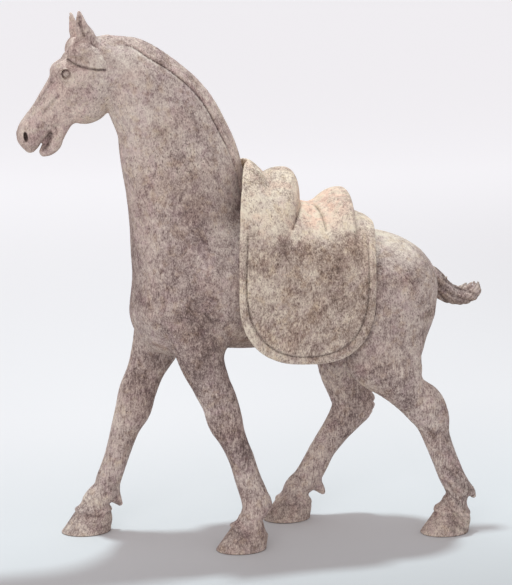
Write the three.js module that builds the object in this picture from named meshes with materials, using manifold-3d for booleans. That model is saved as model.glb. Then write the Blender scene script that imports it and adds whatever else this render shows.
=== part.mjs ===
// Pottery tomb horse: a standing, striding horse of fired clay and the separately made saddle with its
// draped cover and long saddle-blanket, resting loose on the back. Millimetres, +Z up, head toward -X,
// the horse's left side toward -Y. Both are sculpted masses: each limb is an oval section swept along
// its own named stations, the masses flow into one another, and the hooves are cut flat on Z = 0.
import * as THREE from "three";
import Module from "manifold-3d";

// ---- driving dimensions -------------------------------------------------------------------------
const CENTRE_X = 24.3; // middle of the overall length in the modelling frame, moved to X = 0
const REST_GAP = 0.4; // clearance between the loose saddle and the back it rests on

// Stations: [x, y, z, half size in the side plane, half width]
const NECK = [
  [-152, 0, 546, 27, 20], // poll
  [-133, 0, 534, 38, 24],
  [-113.5, 0, 521.5, 43, 27],
  [-94.5, 0, 500.5, 50.5, 30],
  [-78, 0, 475.5, 57.3, 34],
  [-66.5, 0, 443, 63.6, 38],
  [-58.4, 0, 412, 65.9, 43],
  [-53, 0, 369, 66.6, 50],
  [-50.9, 0, 315, 65.9, 57], // shoulders
  [-51, 0, 275, 59, 57], // brisket
];
const NECK_EGG = -0.28; // the neck is narrower along the crest than along the throat
const BARREL = [
  [-58, 0, 287, 52, 54],
  [-20, 0, 289, 67, 62],
  [30, 0, 290, 70, 67],
  [85, 0, 288, 65, 68],
  [140, 0, 286.5, 64.5, 66],
  [178, 0, 282, 58.5, 62],
  [203, 0, 275.5, 45.5, 50], // croup
];
const BREAST = { at: [-72, 0, 262], r: [46, 52, 46], blend: 26 };
const HAUNCH = { x: 172, y: 26, z: 270, r: [49, 37, 63], blend: 20 };
const SHOULDER = { x: -42, y: 36, z: 280, r: [40, 26, 50], turn: 15, blend: 20 };
const TORSO_BLEND = 30;
const HEAD_BLEND = { throat: 4, poll: 16, from: 486, to: 520 };
const LEGS = {
  near_fore: {
    line: [
      [-56, -36, 262, 36, 24],
      [-53, -45, 238, 31, 22],
      [-50.2, -48, 216.7, 24.9, 19], // elbow
      [-41, -48, 192.8, 21.4, 17],
      [-31, -48, 170.4, 20, 17],
      [-24, -48, 146.1, 19.2, 16], // knee
      [-15, -48, 125.3, 14.8, 14],
      [-5.7, -48, 102, 14.2, 12.5], // cannon
      [1.9, -49, 77.8, 14.6, 12.5],
      [8, -50, 60, 15.6, 13.5],
    ],
    sole: [-7.8, -51.9],
    fetlock: [17.5, 50, 16],
    ergot: [34.5, 45],
    pastern: 12.8,
    coronet: [22.5, -0.28],
    blend: 10,
  },
  far_fore: {
    line: [
      [-66, 36, 262, 38, 24],
      [-74.5, 45, 240.5, 33.5, 22],
      [-83, 48, 216.5, 28, 19],
      [-95.6, 48, 187.2, 21.5, 17],
      [-104.8, 48, 164.5, 21.4, 17],
      [-110.5, 48, 143.1, 20.8, 16],
      [-119.6, 48, 121.8, 16.6, 14],
      [-127.5, 49, 97, 14.4, 12.5],
      [-134.5, 50, 75.4, 13.8, 13],
      [-140, 51, 60, 14.2, 13.5],
    ],
    sole: [-166.9, 52.1],
    fetlock: [23.5, 48, 14.8],
    ergot: [42, 27.5],
    pastern: 14.2,
    coronet: [24.5, -0.03],
    blend: 10,
  },
  near_hind: {
    line: [
      [167, -30, 262, 49, 34],
      [160, -38, 236.2, 48.8, 32],
      [159.8, -43, 210.8, 43.6, 28], // stifle
      [173.5, -45, 188.3, 31.8, 23],
      [188.7, -46, 167.8, 22.2, 18.5], // gaskin
      [206.1, -47, 152.5, 23.7, 16],
      [216.7, -47, 135.8, 20.8, 14], // hock
      [223, -47, 113.6, 15.6, 12.5],
      [231.6, -48, 91.4, 14.5, 12],
      [240.5, -49, 68.9, 14.6, 12.5],
    ],
    sole: [233.7, -49.7],
    fetlock: [15.5, 50, 13.8],
    ergot: [36.5, 38],
    pastern: 12.2,
    coronet: [24.5, -0.14],
    blend: 14,
  },
  far_hind: {
    line: [
      [160, 28, 262, 58, 34],
      [148, 36, 228, 50, 32],
      [139, 42, 203, 35, 28],
      [135.5, 45, 178.9, 26, 22],
      [145, 45, 151, 23.3, 17],
      [152.3, 45, 136, 26.2, 16],
      [144.2, 45, 120.7, 21.4, 15],
      [130.4, 44, 102.9, 17.2, 13.5],
      [114, 43, 81, 15.2, 12.5],
      [105, 43, 64, 15.4, 13],
    ],
    sole: [69.5, 42.1],
    fetlock: [24, 46, 15.6],
    ergot: [46.5, 26],
    pastern: 14,
    coronet: [21.5, -0.1], // height of the hoof's upper edge over the sole's middle, and its slope
    blend: 14,
  },
};
const HOOF = { a: 28.7, b: 21.4, high: 24, lean: 8.8, inA: 8.4, inB: 5, heel: 1.6 };
const FRINGE = { a: 21.3, b: 17.2, high: 10.5, back: 3.2, inA: 7.5, inB: 4 }; // hair over the hoof

const HEAD = [
  [-150, 0, 548, 22, 19],
  [-160, 0, 540, 25, 22],
  [-173.5, 0, 524, 26.5, 24],
  [-188.5, 0, 505, 24.6, 20], // face below the eyes
  [-205, 0, 486, 20.6, 16],
  [-216.5, 0, 475.5, 17.6, 15],
  [-225.2, 0, 466.5, 15.6, 14.5], // nostrils
  [-227.8, 0, 457.5, 12.6, 13],
];
const CHEEK = { at: [-167, 0, 503], r: [29.5, 21, 28], turn: 8 };
const HAM = [
  [189, -44, 226, 15.5, 16],
  [187.5, -45, 214, 14.2, 15],
  [187.2, -45, 204, 14, 14],
  [189.6, -46, 194, 13, 13],
]; // hollow between the near thigh and the hock
const BROW = { x: -191.2, y: 9.5, z: 532.2, r: [11.4, 10, 10.4], turn: 25, blend: 5 };
const FOREHEAD = { at: [-174, 0, 541], r: [16, 16, 15], turn: -20 };
const UPPER_LIP = [
  [-226, 0, 461, 11, 12],
  [-226.8, 0, 453.5, 8.5, 10.5],
  [-226, 0, 447.8, 4.8, 8],
];
const LOWER_JAW = [
  [-185, 0, 485, 9, 13],
  [-191, 0, 474.5, 8, 12],
  [-196.6, 0, 464.6, 7.9, 11.5],
  [-202.2, 0, 454.8, 9.2, 11], // chin
  [-208.6, 0, 448.2, 7.2, 10],
  [-214.4, 0, 444.8, 4.2, 8],
];
const MOUTH_GAP = [
  [-214.5, 0, 455, 1.1, 30],
  [-218.6, 0, 447, 1.7, 30],
  [-222, 0, 439, 3, 30],
];
const MOUTH_CORNER = [
  [-205.2, 14.5, 466, 2, 6.2],
  [-208.2, 14.5, 460.8, 3.3, 7],
  [-211.6, 14, 455.4, 4.1, 7.6],
  [-215.4, 13.5, 451, 3.8, 7.6],
];
const EYE = { x: -189.2, y: 21, z: 529.6, ball: 3.7, rim: 5.2 };
const NOSTRIL = { x: -232.4, y: 13.2, z: 463.6, r: [1.9, 6, 5.2], turn: 8 };
const NOSTRIL_RIM = { x: -233.2, y: 8.6, z: 464, r: [6, 5.5, 7.6], turn: 25 };
const NEAR_EAR = [
  [-163, -12, 560, 10.8, 8.5],
  [-167, -13, 570.5, 9.4, 7.4],
  [-170.3, -14, 578.5, 7, 6],
  [-171.9, -14, 585.5, 4.9, 4.6],
  [-172.9, -14, 591.5, 3, 3],
  [-173.3, -14, 595, 1.6, 1.6],
];
const FAR_EAR = [
  [-168.5, 12, 560, 9.4, 8],
  [-173.1, 13, 570, 6.6, 6],
  [-175.8, 14, 578, 5.3, 4.8],
  [-177.2, 14, 584, 4.4, 3.9],
  [-178, 14, 589, 3.1, 2.8],
  [-178.5, 14, 592.4, 1.7, 1.7],
];
const FORELOCK = [
  [-178.3, 8, 555.6, 12, 14],
  [-168, 11, 553, 12.8, 16],
  [-158.3, 17, 546.5, 9, 10.5],
  [-149, 21.8, 538, 3.8, 5],
];
const TAIL = [
  [220, 0, 295, 12, 11],
  [230, 0, 288, 13.5, 11],
  [240.5, 0, 278.5, 12.6, 10.5],
  [249.5, 0, 271.5, 11.6, 10.5],
  [257.1, 0, 268.3, 10.8, 10],
  [265.7, 0, 266.2, 10, 9.5],
  [275.5, 0, 267.4, 9.6, 8.6],
  [282.8, 0, 270.8, 8.2, 7],
  [287.6, 0, 275.2, 5, 4.6],
];
const MANE = { inset: 12.5, deep: 1.2, wide: 2.2 }; // cut line of the cropped mane below the crest

// Saddle: an arch of fired clay whose top line follows the back, with two humps under the cover
const SPRING = 300; // height where the arch turns into straight flaps
const FLAP_HALF = 75; // half width over the flaps
const SHEET = 6.5; // thickness of the blanket
const TOP_LINE = [
  [-25, 438],
  [0, 436],
  [15.7, 431],
  [26, 422],
  [38, 408],
  [60, 392],
  [79, 383],
  [92, 383.5],
  [105, 384],
  [120, 379],
  [135, 371.5],
  [150, 364.5],
  [160, 355],
  [175, 344],
];
const POMMEL = { x: 51, lean: 0.33, top: 422.6, back: 37, fore: 40, pBack: 3, pFore: 2.4 };
const CANTLE = { x: 118.2, lean: 0.12, top: 398, back: 48, fore: 16.4, pBack: 2, pFore: 3.6 };
const BLANKET = {
  front: -15,
  frontLean: 0.34,
  frontTop: 5,
  frontTopWide: 30,
  rear: 158,
  rearLean: 0.24,
  bottom: 212.5,
  bottomBow: 0.0012,
  bottomAt: 80,
  corner: 66,
  border: 9,
  groove: 0.9,
};

const SOLE_STOCK = 6; // stock left under Z = 0 for the flat cut of the hooves

const HORSE_CELL = 3.4;
const SADDLE_CELL = 2.6;
const HORSE_TRIANGLES = 7000;
const SADDLE_TRIANGLES = 2700;

// ---- blending -----------------------------------------------------------------------------------
const FAR = 80;
function join(a, b, k) {
  const h = Math.max(k - Math.abs(a - b), 0) / k;
  return Math.min(a, b) - h * h * k * 0.25;
}
function carve(a, b, k) {
  const h = Math.max(k - Math.abs(a - b), 0) / k;
  return Math.max(a, b) + h * h * k * 0.25;
}

// ---- primitives: each returns a function (x, y, z) -> signed distance ----------------------------
function smoothLine(stations, n) {
  const m = stations.length,
    width = stations[0].length,
    out = [];
  const low = [3, 4].map((j) => 0.6 * Math.min(...stations.map((s) => s[j])));
  for (let i = 0; i < m - 1; i++) {
    const p1 = stations[i],
      p2 = stations[i + 1];
    const p0 = i ? stations[i - 1] : p1.map((v, j) => 2 * v - p2[j]);
    const p3 = i < m - 2 ? stations[i + 2] : p2.map((v, j) => 2 * v - p1[j]);
    for (let k = 0; k < n; k++) {
      const t = k / n,
        row = [];
      for (let j = 0; j < width; j++)
        row.push(
          0.5 *
            (2 * p1[j] +
              (p2[j] - p0[j]) * t +
              (2 * p0[j] - 5 * p1[j] + 4 * p2[j] - p3[j]) * t * t +
              (-p0[j] + 3 * p1[j] - 3 * p2[j] + p3[j]) * t * t * t),
        );
      out.push(row);
    }
  }
  out.push([...stations[m - 1]]);
  for (const r of out) {
    r[3] = Math.max(r[3], low[0]);
    r[4] = Math.max(r[4], low[1]);
  }
  return out;
}

// An oval section swept along stations; its long axes lie in the side plane and across it.
function tube(stations, n = 5, egg = 0) {
  const PAD = 40;
  const line = smoothLine(stations, n);
  const widest = Math.max(...line.map((r) => r[3]));
  const lo = [0, 1, 2].map((j) => Math.min(...line.map((r) => r[j])) - widest - PAD);
  const hi = [0, 1, 2].map((j) => Math.max(...line.map((r) => r[j])) + widest + PAD);
  const segs = [];
  for (let i = 0; i < line.length - 1; i++) {
    const A = line[i],
      B = line[i + 1];
    const d = new THREE.Vector3(B[0] - A[0], B[1] - A[1], B[2] - A[2]);
    const L = d.length();
    if (L < 1e-6) continue;
    const t = d.divideScalar(L);
    const v = new THREE.Vector3(0, 1, 0).addScaledVector(t, -t.y).normalize();
    const u = new THREE.Vector3().crossVectors(t, v);
    segs.push({
      A, t, u, v, L,
      a0: A[3], a1: B[3], b0: A[4], b1: B[4],
      reach: Math.max(A[3], B[3], A[4], B[4]) + PAD,
    });
  }
  return (x, y, z) => {
    if (x < lo[0] || x > hi[0] || y < lo[1] || y > hi[1] || z < lo[2] || z > hi[2]) return FAR;
    let best = FAR;
    for (const s of segs) {
      const px = x - s.A[0],
        py = y - s.A[1],
        pz = z - s.A[2];
      const w = px * s.t.x + py * s.t.y + pz * s.t.z;
      if (w < -s.reach || w > s.L + s.reach) continue;
      const U = px * s.u.x + py * s.u.y + pz * s.u.z;
      if (U > s.reach || U < -s.reach) continue;
      const V = px * s.v.x + py * s.v.y + pz * s.v.z;
      if (V > s.reach || V < -s.reach) continue;
      const k = Math.min(1, Math.max(0, w / s.L));
      const a = s.a0 + (s.a1 - s.a0) * k;
      let b = s.b0 + (s.b1 - s.b0) * k;
      const c = 0.5 * Math.min(a, b);
      const W = w - k * s.L;
      if (egg) b *= Math.min(1.65, Math.max(0.35, 1 + (egg * U) / a));
      const r = Math.hypot(U / a, V / b, W / c) + 1e-9;
      const f = r < 0.3
        ? -0.7 * Math.min(a, b)
        : (r * (r - 1)) / (Math.hypot(U / (a * a), V / (b * b), W / (c * c)) + 1e-9);
      if (f < best) best = f;
    }
    return best;
  };
}

function ellipsoid([cx, cy, cz], [rx, ry, rz], turn = 0) {
  const ca = Math.cos((turn * Math.PI) / 180),
    sa = Math.sin((turn * Math.PI) / 180);
  const inside = -0.7 * Math.min(rx, ry, rz);
  return (x, y, z) => {
    const px = (x - cx) * ca + (z - cz) * sa,
      pz = -(x - cx) * sa + (z - cz) * ca,
      py = y - cy;
    const k0 = Math.hypot(px / rx, py / ry, pz / rz) + 1e-9;
    if (k0 < 0.3) return inside;
    return (k0 * (k0 - 1)) / (Math.hypot(px / (rx * rx), py / (ry * ry), pz / (rz * rz)) + 1e-9);
  };
}

// Distance to an upright oval column of half sizes a and b
function oval(U, V, a, b, inside) {
  const r = Math.hypot(U / a, V / b) + 1e-9;
  return r < 0.3 ? inside : (r * (r - 1)) / (Math.hypot(U / (a * a), V / (b * b)) + 1e-9);
}

function foot({ line, sole: [sx, sy], fetlock: [fx, fz, fa], ergot: [ex, ez], pastern, coronet: [cz, slope] }) {
  const leg = tube([
    ...line,
    [sx + fx, sy, fz, fa, 13.6],
    [sx + 12.6, sy, 38, pastern, 12.4],
    [sx + 9, sy, 27, 14, 13],
  ]);
  const spur = tube(
    [
      [sx + fx + 5, sy, fz + 3, 10, 7],
      [sx + ex - 6, sy, ez + 9, 6.3, 4.8],
      [sx + ex - 0.5, sy, ez + 1.5, 2.6, 2.4],
    ],
    4,
  );
  const R = 95;
  return (x, y, z) => {
    let d = leg(x, y, z);
    if (z > 95 || x < sx - R || x > sx + R) return d;
    const U = x - sx,
      V = y - sy,
      edge = cz + slope * U;
    // wall of the hoof, leaning back to its upper edge, a little swollen at the heel
    const t = Math.min(1.3, Math.max(-0.3, z / HOOF.high));
    const heel = HOOF.heel * Math.exp(-(((z - 14) / 8) ** 2)) * Math.min(1, Math.max(0, U / 20));
    const wall = 0.93 * oval(U - HOOF.lean * t, V, HOOF.a - HOOF.inA * t, HOOF.b - HOOF.inB * t, -12) - heel;
    d = join(d, carve(wall, z - edge - 2.5, 3), 2);
    // fringe of hair that flares over it
    let u = Math.min(1, Math.max(0, (z - edge - 2.8) / FRINGE.high));
    u *= 1.6 - 0.6 * u;
    const flare = carve(
      0.9 * oval(U - HOOF.lean - FRINGE.back * u, V, FRINGE.a - FRINGE.inA * u, FRINGE.b - FRINGE.inB * u, -10),
      edge - z,
      1.6,
    );
    d = join(d, carve(flare, z - edge - 16, 3), 3);
    return join(d, spur(x, y, z), 4);
  };
}

// ---- the horse ----------------------------------------------------------------------------------
const mirrored = (stations, side) => stations.map(([x, y, z, a, b]) => [x, side * y, z, a, b]);
function horseShape() {
  const neck = tube(NECK, 6, NECK_EGG),
    barrel = tube(BARREL, 6),
    breast = ellipsoid(BREAST.at, BREAST.r),
    head = tube(HEAD),
    cheek = ellipsoid(CHEEK.at, CHEEK.r, CHEEK.turn),
    forehead = ellipsoid(FOREHEAD.at, FOREHEAD.r, FOREHEAD.turn),
    upperLip = tube(UPPER_LIP, 4),
    jaw = tube(LOWER_JAW, 4),
    gap = tube(MOUTH_GAP, 3),
    tail = tube(TAIL, 5),
    ham = tube(HAM, 4);
  const sides = [-1, 1].map((s) => ({
    haunch: ellipsoid([HAUNCH.x, s * HAUNCH.y, HAUNCH.z], HAUNCH.r),
    shoulder: ellipsoid([SHOULDER.x, s * SHOULDER.y, SHOULDER.z], SHOULDER.r, SHOULDER.turn),
    brow: ellipsoid([BROW.x, s * BROW.y, BROW.z], BROW.r, BROW.turn),
    corner: tube(mirrored(MOUTH_CORNER, s), 4),
    nostril: ellipsoid([NOSTRIL.x, s * NOSTRIL.y, NOSTRIL.z], NOSTRIL.r, NOSTRIL.turn),
    rim: ellipsoid([NOSTRIL_RIM.x, s * NOSTRIL_RIM.y, NOSTRIL_RIM.z], NOSTRIL_RIM.r, NOSTRIL_RIM.turn),
    lock: tube(mirrored(FORELOCK, s), 5),
    ear: tube(s < 0 ? NEAR_EAR : FAR_EAR, 4),
    eye: (x, y, z) => Math.hypot(x - EYE.x, y - s * EYE.y, z - EYE.z),
  }));
  const legs = Object.values(LEGS).map((leg) => ({ shape: foot(leg), blend: leg.blend }));
  return (x, y, z) => {
    let d = neck(x, y, z);
    d = join(d, barrel(x, y, z), TORSO_BLEND);
    d = join(d, breast(x, y, z), BREAST.blend);
    for (const s of sides) {
      d = join(d, s.haunch(x, y, z), HAUNCH.blend);
      d = join(d, s.shoulder(x, y, z), SHOULDER.blend);
    }
    if (z > 400 && x < -90) {
      let h = head(x, y, z);
      h = join(h, cheek(x, y, z), 6);
      h = join(h, forehead(x, y, z), 6);
      for (const s of sides) h = join(h, s.brow(x, y, z), BROW.blend);
      // a wide meeting at the poll, a tight one at the throat
      const B = HEAD_BLEND,
        k = Math.min(1, Math.max(0, (z - B.from) / (B.to - B.from)));
      d = join(d, h, B.throat + (B.poll - B.throat) * k);
      d = join(d, upperLip(x, y, z), 5);
      d = join(d, jaw(x, y, z), 5);
      for (const s of sides) d = join(d, s.rim(x, y, z), 4);
      d = carve(d, -gap(x, y, z), 1.5);
      for (const s of sides) {
        d = carve(d, -s.corner(x, y, z), 2);
        d = carve(d, -s.nostril(x, y, z), 1.5);
        const e = s.eye(x, y, z);
        d = carve(d, -(Math.abs(e - EYE.rim) - 0.8), 1.2);
        d = join(d, e - EYE.ball, 1.2);
        d = join(d, s.ear(x, y, z), 4);
      }
      let f = FAR;
      for (const s of sides) f = join(f, s.lock(x, y, z), 4);
      d = join(d, f, 2);
    }
    // mane: the neck's own outline set inward gives the cut line
    if (z > 380 && x > -150) {
      const n = neck(x, 0, z) + MANE.inset;
      if (x + z > 395) d += MANE.deep * Math.exp(-((n / MANE.wide) ** 2));
    }
    if (z < 290) {
      for (const leg of legs) d = join(d, leg.shape(x, y, z), leg.blend);
      d = join(d, ham(x, y, z), 7);
    }
    if (x > 185) d = join(d, tail(x, y, z), 2.5);
    return Math.max(d, -z - SOLE_STOCK);
  };
}

// ---- the saddle ---------------------------------------------------------------------------------
// Smooth curve through [x, height] pairs
function curve(pairs) {
  const m = pairs.map((p, i) => {
    const a = pairs[Math.max(0, i - 1)],
      b = pairs[Math.min(pairs.length - 1, i + 1)];
    if (i === 0 || i === pairs.length - 1) return (b[1] - a[1]) / (b[0] - a[0]);
    const h0 = p[0] - a[0],
      h1 = b[0] - p[0];
    return (h0 * h0 * b[1] + (h1 * h1 - h0 * h0) * p[1] - h1 * h1 * a[1]) / (h0 * h1 * (h0 + h1));
  });
  return (x) => {
    let i = 0;
    while (i < pairs.length - 2 && x > pairs[i + 1][0]) i++;
    const [x0, y0] = pairs[i],
      [x1, y1] = pairs[i + 1],
      h = x1 - x0;
    const t = Math.min(1, Math.max(0, (x - x0) / h));
    return (
      (2 * t ** 3 - 3 * t * t + 1) * y0 + (t ** 3 - 2 * t * t + t) * h * m[i] +
      (-2 * t ** 3 + 3 * t * t) * y1 + (t ** 3 - t * t) * h * m[i + 1]
    );
  };
}
const topLine = curve(TOP_LINE);
function arch(x, y, z, inset) {
  return oval(y, Math.max(z - SPRING, 0), FLAP_HALF - inset, topLine(x) - inset - SPRING, -25);
}
// A hump across the back: a lopsided rounded block leaning with height
function hump(x, y, z, o) {
  const h = o.top - SPRING,
    w = FLAP_HALF - 0.3;
  const dx = x - o.x - o.lean * (Math.min(z, o.top) - o.top);
  const R = dx > 0 ? o.fore : o.back,
    n = dx > 0 ? o.pFore : o.pBack;
  const t = Math.abs(dx) / R + 1e-6,
    zz = Math.max(z - SPRING, 0);
  const F = t ** n + (y / w) ** 2 + (zz / h) ** 2;
  const G = Math.hypot((n * t ** (n - 1)) / R, (2 * y) / (w * w), (2 * zz) / (h * h)) + 0.02;
  return Math.min(60, Math.max(-20, (F - 1) / G));
}
// Side outline of the blanket, rounded at its lower corners
function blanket(x, y, z) {
  const B = BLANKET,
    ay = Math.abs(y);
  const front =
    B.front + B.frontLean * Math.max(FLAP_HALF - ay, 0) +
    B.frontTop * Math.min(1, Math.max(0, 1 - ay / B.frontTopWide)) ** 2;
  const rear = B.rear - B.rearLean * ay;
  const bottom = B.bottom + B.bottomBow * (x - B.bottomAt) ** 2;
  return carve(carve(front - x, x - rear, 10), bottom - z, B.corner);
}
function saddleShape(horse) {
  return (x, y, z) => {
    const outer = arch(x, y, z, 0);
    const cut = blanket(x, y, z);
    let d = join(join(outer, hump(x, y, z, POMMEL), 3), hump(x, y, z, CANTLE), 3);
    d = carve(d, -arch(x, y, z, SHEET), 1.5);
    d = carve(d, cut, 3);
    // incised line of the border
    if (z < SPRING + 45) d += BLANKET.groove * Math.exp(-(((cut + BLANKET.border) / 1.3) ** 2));
    if (d > 20) return d;
    return carve(d, -(horse(x, y, z) - REST_GAP), 0.8);
  };
}

// ---- from a distance field to a closed mesh -------------------------------------------------------
function sample(field, lo, hi, h) {
  const STEP = 4;
  const n = lo.map((v, i) => Math.ceil(Math.ceil((hi[i] - v) / h) / STEP) * STEP + 1);
  const c = n.map((v) => (v - 1) / STEP + 1);
  const coarse = new Float32Array(c[0] * c[1] * c[2]);
  const ci = (i, j, k) => (i * c[1] + j) * c[2] + k;
  for (let i = 0; i < c[0]; i++)
    for (let j = 0; j < c[1]; j++)
      for (let k = 0; k < c[2]; k++)
        coarse[ci(i, j, k)] = field(lo[0] + i * STEP * h, lo[1] + j * STEP * h, lo[2] + k * STEP * h);
  const F = new Float32Array(n[0] * n[1] * n[2]);
  const band = STEP * h * 1.3;
  let q = 0;
  for (let i = 0; i < n[0]; i++) {
    const ic = Math.min(Math.floor(i / STEP), c[0] - 2), fi = i / STEP - ic;
    for (let j = 0; j < n[1]; j++) {
      const jc = Math.min(Math.floor(j / STEP), c[1] - 2), fj = j / STEP - jc;
      for (let k = 0; k < n[2]; k++, q++) {
        const kc = Math.min(Math.floor(k / STEP), c[2] - 2), fk = k / STEP - kc;
        const e = (a, b) =>
          coarse[ci(ic + a, jc + b, kc)] * (1 - fk) + coarse[ci(ic + a, jc + b, kc + 1)] * fk;
        const g = (e(0, 0) * (1 - fj) + e(0, 1) * fj) * (1 - fi) + (e(1, 0) * (1 - fj) + e(1, 1) * fj) * fi;
        F[q] = Math.abs(g) < band ? field(lo[0] + i * h, lo[1] + j * h, lo[2] + k * h) : g;
      }
    }
  }
  return { F, n, lo, h };
}

// One vertex per cell the surface passes through, one quad per grid edge it crosses
function surface({ F, n, lo, h }) {
  const at = (i, j, k) => (i * n[1] + j) * n[2] + k;
  const cell = new Int32Array(F.length).fill(-1);
  const pos = [], tri = [];
  const corners = [];
  for (let i = 0; i < 2; i++) for (let j = 0; j < 2; j++) for (let k = 0; k < 2; k++) corners.push([i, j, k]);
  const edges = [];
  corners.forEach((a, p) => corners.forEach((b, q) => {
    if (q > p && Math.abs(a[0] - b[0]) + Math.abs(a[1] - b[1]) + Math.abs(a[2] - b[2]) === 1) edges.push([p, q]);
  }));
  const v = new Float64Array(8);
  for (let i = 0; i < n[0] - 1; i++)
    for (let j = 0; j < n[1] - 1; j++)
      for (let k = 0; k < n[2] - 1; k++) {
        let inside = 0;
        for (let c = 0; c < 8; c++) {
          v[c] = F[at(i + corners[c][0], j + corners[c][1], k + corners[c][2])];
          if (v[c] < 0) inside++;
        }
        if (inside === 0 || inside === 8) continue;
        let sx = 0, sy = 0, sz = 0, m = 0;
        for (const [p, q] of edges) {
          if (v[p] < 0 === v[q] < 0) continue;
          const t = v[p] / (v[p] - v[q]), a = corners[p], b = corners[q];
          sx += a[0] + (b[0] - a[0]) * t;
          sy += a[1] + (b[1] - a[1]) * t;
          sz += a[2] + (b[2] - a[2]) * t;
          m++;
        }
        cell[at(i, j, k)] = pos.length / 3;
        pos.push(lo[0] + (i + sx / m) * h, lo[1] + (j + sy / m) * h, lo[2] + (k + sz / m) * h);
      }
  const step = [[1, 0, 0], [0, 1, 0], [0, 0, 1]];
  for (let ax = 0; ax < 3; ax++) {
    const b = (ax + 1) % 3, c = (ax + 2) % 3;
    for (let i = 0; i < n[0]; i++)
      for (let j = 0; j < n[1]; j++)
        for (let k = 0; k < n[2]; k++) {
          const g = [i, j, k];
          if (g[ax] >= n[ax] - 1 || g[b] < 1 || g[c] < 1 || g[b] >= n[b] - 1 || g[c] >= n[c] - 1) continue;
          const f0 = F[at(i, j, k)] < 0, f1 = F[at(i + step[ax][0], j + step[ax][1], k + step[ax][2])] < 0;
          if (f0 === f1) continue;
          const q = [[-1, -1], [0, -1], [0, 0], [-1, 0]].map(([db, dc]) => {
            const r = [...g];
            r[b] += db;
            r[c] += dc;
            return cell[at(...r)];
          });
          if (!f0) q.reverse();
          tri.push(q[0], q[1], q[2], q[0], q[2], q[3]);
        }
  }
  return { pos: new Float64Array(pos), tri: new Int32Array(tri) };
}

// Cells where two sheets of the surface meet in one edge are filled until every edge has two faces
function closedSurface(volume) {
  const { F, n, lo, h } = volume;
  for (let pass = 0; pass < 12; pass++) {
    const mesh = surface(volume),
      count = new Map(),
      nv = mesh.pos.length / 3;
    for (let f = 0; f < mesh.tri.length; f += 3)
      for (let i = 0; i < 3; i++) {
        const a = mesh.tri[f + i], b = mesh.tri[f + ((i + 1) % 3)];
        const key = Math.min(a, b) * nv + Math.max(a, b);
        count.set(key, (count.get(key) || 0) + 1);
      }
    const bad = [...count].filter(([, c]) => c !== 2);
    if (!bad.length) return mesh;
    for (const [key] of bad)
      for (const v of [Math.floor(key / nv), key % nv]) {
        const [i, j, k] = [0, 1, 2].map((a) => Math.floor((mesh.pos[3 * v + a] - lo[a]) / h));
        for (let c = 0; c < 8; c++) {
          const g = ((i + (c & 1)) * n[1] + j + ((c >> 1) & 1)) * n[2] + k + (c >> 2);
          F[g] = Math.min(F[g], -0.05 * h);
        }
      }
  }
  throw new Error("the surface doesn't close");
}

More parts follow.
